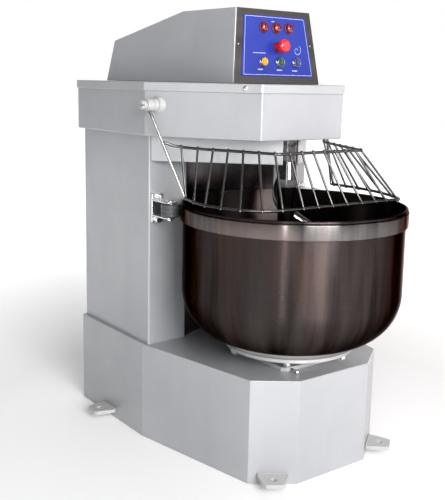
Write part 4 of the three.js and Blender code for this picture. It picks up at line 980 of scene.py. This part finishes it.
# ------------------------------------------------------------------ floor, light and camera
fl = bpy.data.meshes.new("floor")
fl.from_pydata([(-16, -16, -0.0005), (16, -16, -0.0005), (16, 16, -0.0005), (-16, 16, -0.0005)], [], [(0, 1, 2, 3)])
floor = bpy.data.objects.new("studio_floor", fl)
bpy.context.scene.collection.objects.link(floor)
FL = Look("studio_floor_pale_glowing", Roughness=0.7)
FL.colour(FL.mix(FL.span(FL.noise(scale=0.7, detail=2), 0.3, 0.7, 0, 1), (0.80, 0.80, 0.80), (0.84, 0.84, 0.84)))
# the floor glows as painted light: weak near the machine, nearly full from 3.4 m out, so floor and backdrop read white
FL.b.inputs["Emission Color"].default_value = (1.0, 1.0, 1.0, 1)
fsep = FL.new("ShaderNodeSeparateXYZ")
FL.link(FL.co, fsep.inputs[0])
frad = FL.math("SQRT", FL.math("ADD", FL.math("MULTIPLY", fsep.outputs[0], fsep.outputs[0]), FL.math("MULTIPLY", fsep.outputs[1], fsep.outputs[1])))
FL.link(FL.span(frad, 1.0, 3.4, 0.14, 0.97), FL.b.inputs["Emission Strength"])
fl.materials.append(FL.m)

world = bpy.data.worlds.new("studio")
bpy.context.scene.world = world
world.use_nodes = True
wn = world.node_tree
bg = wn.nodes["Background"]
tc = wn.nodes.new("ShaderNodeTexCoord")
sx = wn.nodes.new("ShaderNodeSeparateXYZ")
wn.links.new(tc.outputs["Generated"], sx.inputs[0])


def wmath(op, a, b):
    n = wn.nodes.new("ShaderNodeMath")
    n.operation = op
    for i, q in enumerate((a, b)):
        if isinstance(q, (int, float)):
            n.inputs[i].default_value = q
        else:
            wn.links.new(q, n.inputs[i])
    return n.outputs[0]


along = wmath("ADD", wmath("MULTIPLY", sx.outputs[0], 0.6), wmath("MULTIPLY", sx.outputs[1], 0.8))
mr = wn.nodes.new("ShaderNodeMapRange")
mr.interpolation_type = "SMOOTHSTEP"
mr.inputs["From Min"].default_value = 0.55
mr.inputs["From Max"].default_value = 0.85
mr.inputs["To Min"].default_value = 0.10
mr.inputs["To Max"].default_value = 1.0
wn.links.new(along, mr.inputs["Value"])
mxw = wn.nodes.new("ShaderNodeMix")
mxw.data_type = "RGBA"
mxw.inputs[6].default_value = (0.0, 0.0, 0.0, 1)
mxw.inputs[7].default_value = (1.0, 1.0, 1.0, 1)
wn.links.new(mr.outputs[0], mxw.inputs[0])
wn.links.new(mxw.outputs[2], bg.inputs[0])
bg.inputs[1].default_value = 1.0


def area(name, pos, target, size, power, colour=(1, 1, 1), size_y=None):
    l = bpy.data.lights.new(name, "AREA")
    l.shape = "RECTANGLE"
    l.size, l.size_y = size, size_y or size
    l.energy, l.color = power, colour
    o = bpy.data.objects.new(name, l)
    bpy.context.scene.collection.objects.link(o)
    o.location = pos
    o.rotation_euler = (Vector(target) - Vector(pos)).to_track_quat("-Z", "Y").to_euler()
    return o


area("key", (-1.35, -5.43, 2.6), (0, 0, 0.75), 3.0, 462, (1.0, 0.985, 0.975), 2.6)
area("fill_camera", (-3.60, -4.29, 2.6), (0, 0, 0.75), 3.0, 28, (0.95, 0.97, 1.0), 2.6)
area("fill_right", (3.21, -4.59, 2.6), (0, 0, 0.75), 3.0, 46, (1.0, 0.90, 0.92), 2.6)
area("front_top", (-1.0, -2.4, 4.2), (0, -0.1, 0.6), 2.6, 38, (0.97, 0.98, 1.0))
area("top", (0.8, 1.2, 4.4), (0, 0.4, 0.6), 3.0, 26, (0.95, 0.97, 1.0))
area("left_strip", (-3.66, -3.41, 1.2), (0, -0.1, 0.7), 0.20, 24, (0.92, 0.96, 1.0), 1.8)
area("right_strip", (4.6, 0.9, 1.3), (0, -0.2, 0.7), 0.4, 26, (1.0, 0.80, 0.66), 2.2)

f_px = 814.11
yaw, pitch, roll = (math.radians(a) for a in (37.06, 10.48, -1.16))
fwd = np.array([math.sin(yaw) * math.cos(pitch), math.cos(yaw) * math.cos(pitch), -math.sin(pitch)])
right = np.array([math.cos(yaw), -math.sin(yaw), 0.0])
down = np.cross(fwd, right)
r_ = right * math.cos(roll) + down * math.sin(roll)
d_ = -right * math.sin(roll) + down * math.cos(roll)
cam = bpy.data.cameras.new("camera")
co = bpy.data.objects.new("camera", cam)
bpy.context.scene.collection.objects.link(co)
cam.sensor_fit = "VERTICAL"
cam.sensor_width = cam.sensor_height = 36.0
cam.lens = f_px * 36.0 / 500
cam.shift_x = 0.0
cam.shift_y = (230.71 - 250) / 500
cam.clip_end = 60
Rm = Matrix(((r_[0], -d_[0], -fwd[0], -1.6904), (r_[1], -d_[1], -fwd[1], -2.07355), (r_[2], -d_[2], -fwd[2], 1.1827), (0, 0, 0, 1)))
co.matrix_world = Rm
bpy.context.scene.camera = co
bpy.context.scene.view_settings.view_transform = "Standard"
bpy.context.scene.view_settings.look = "None"
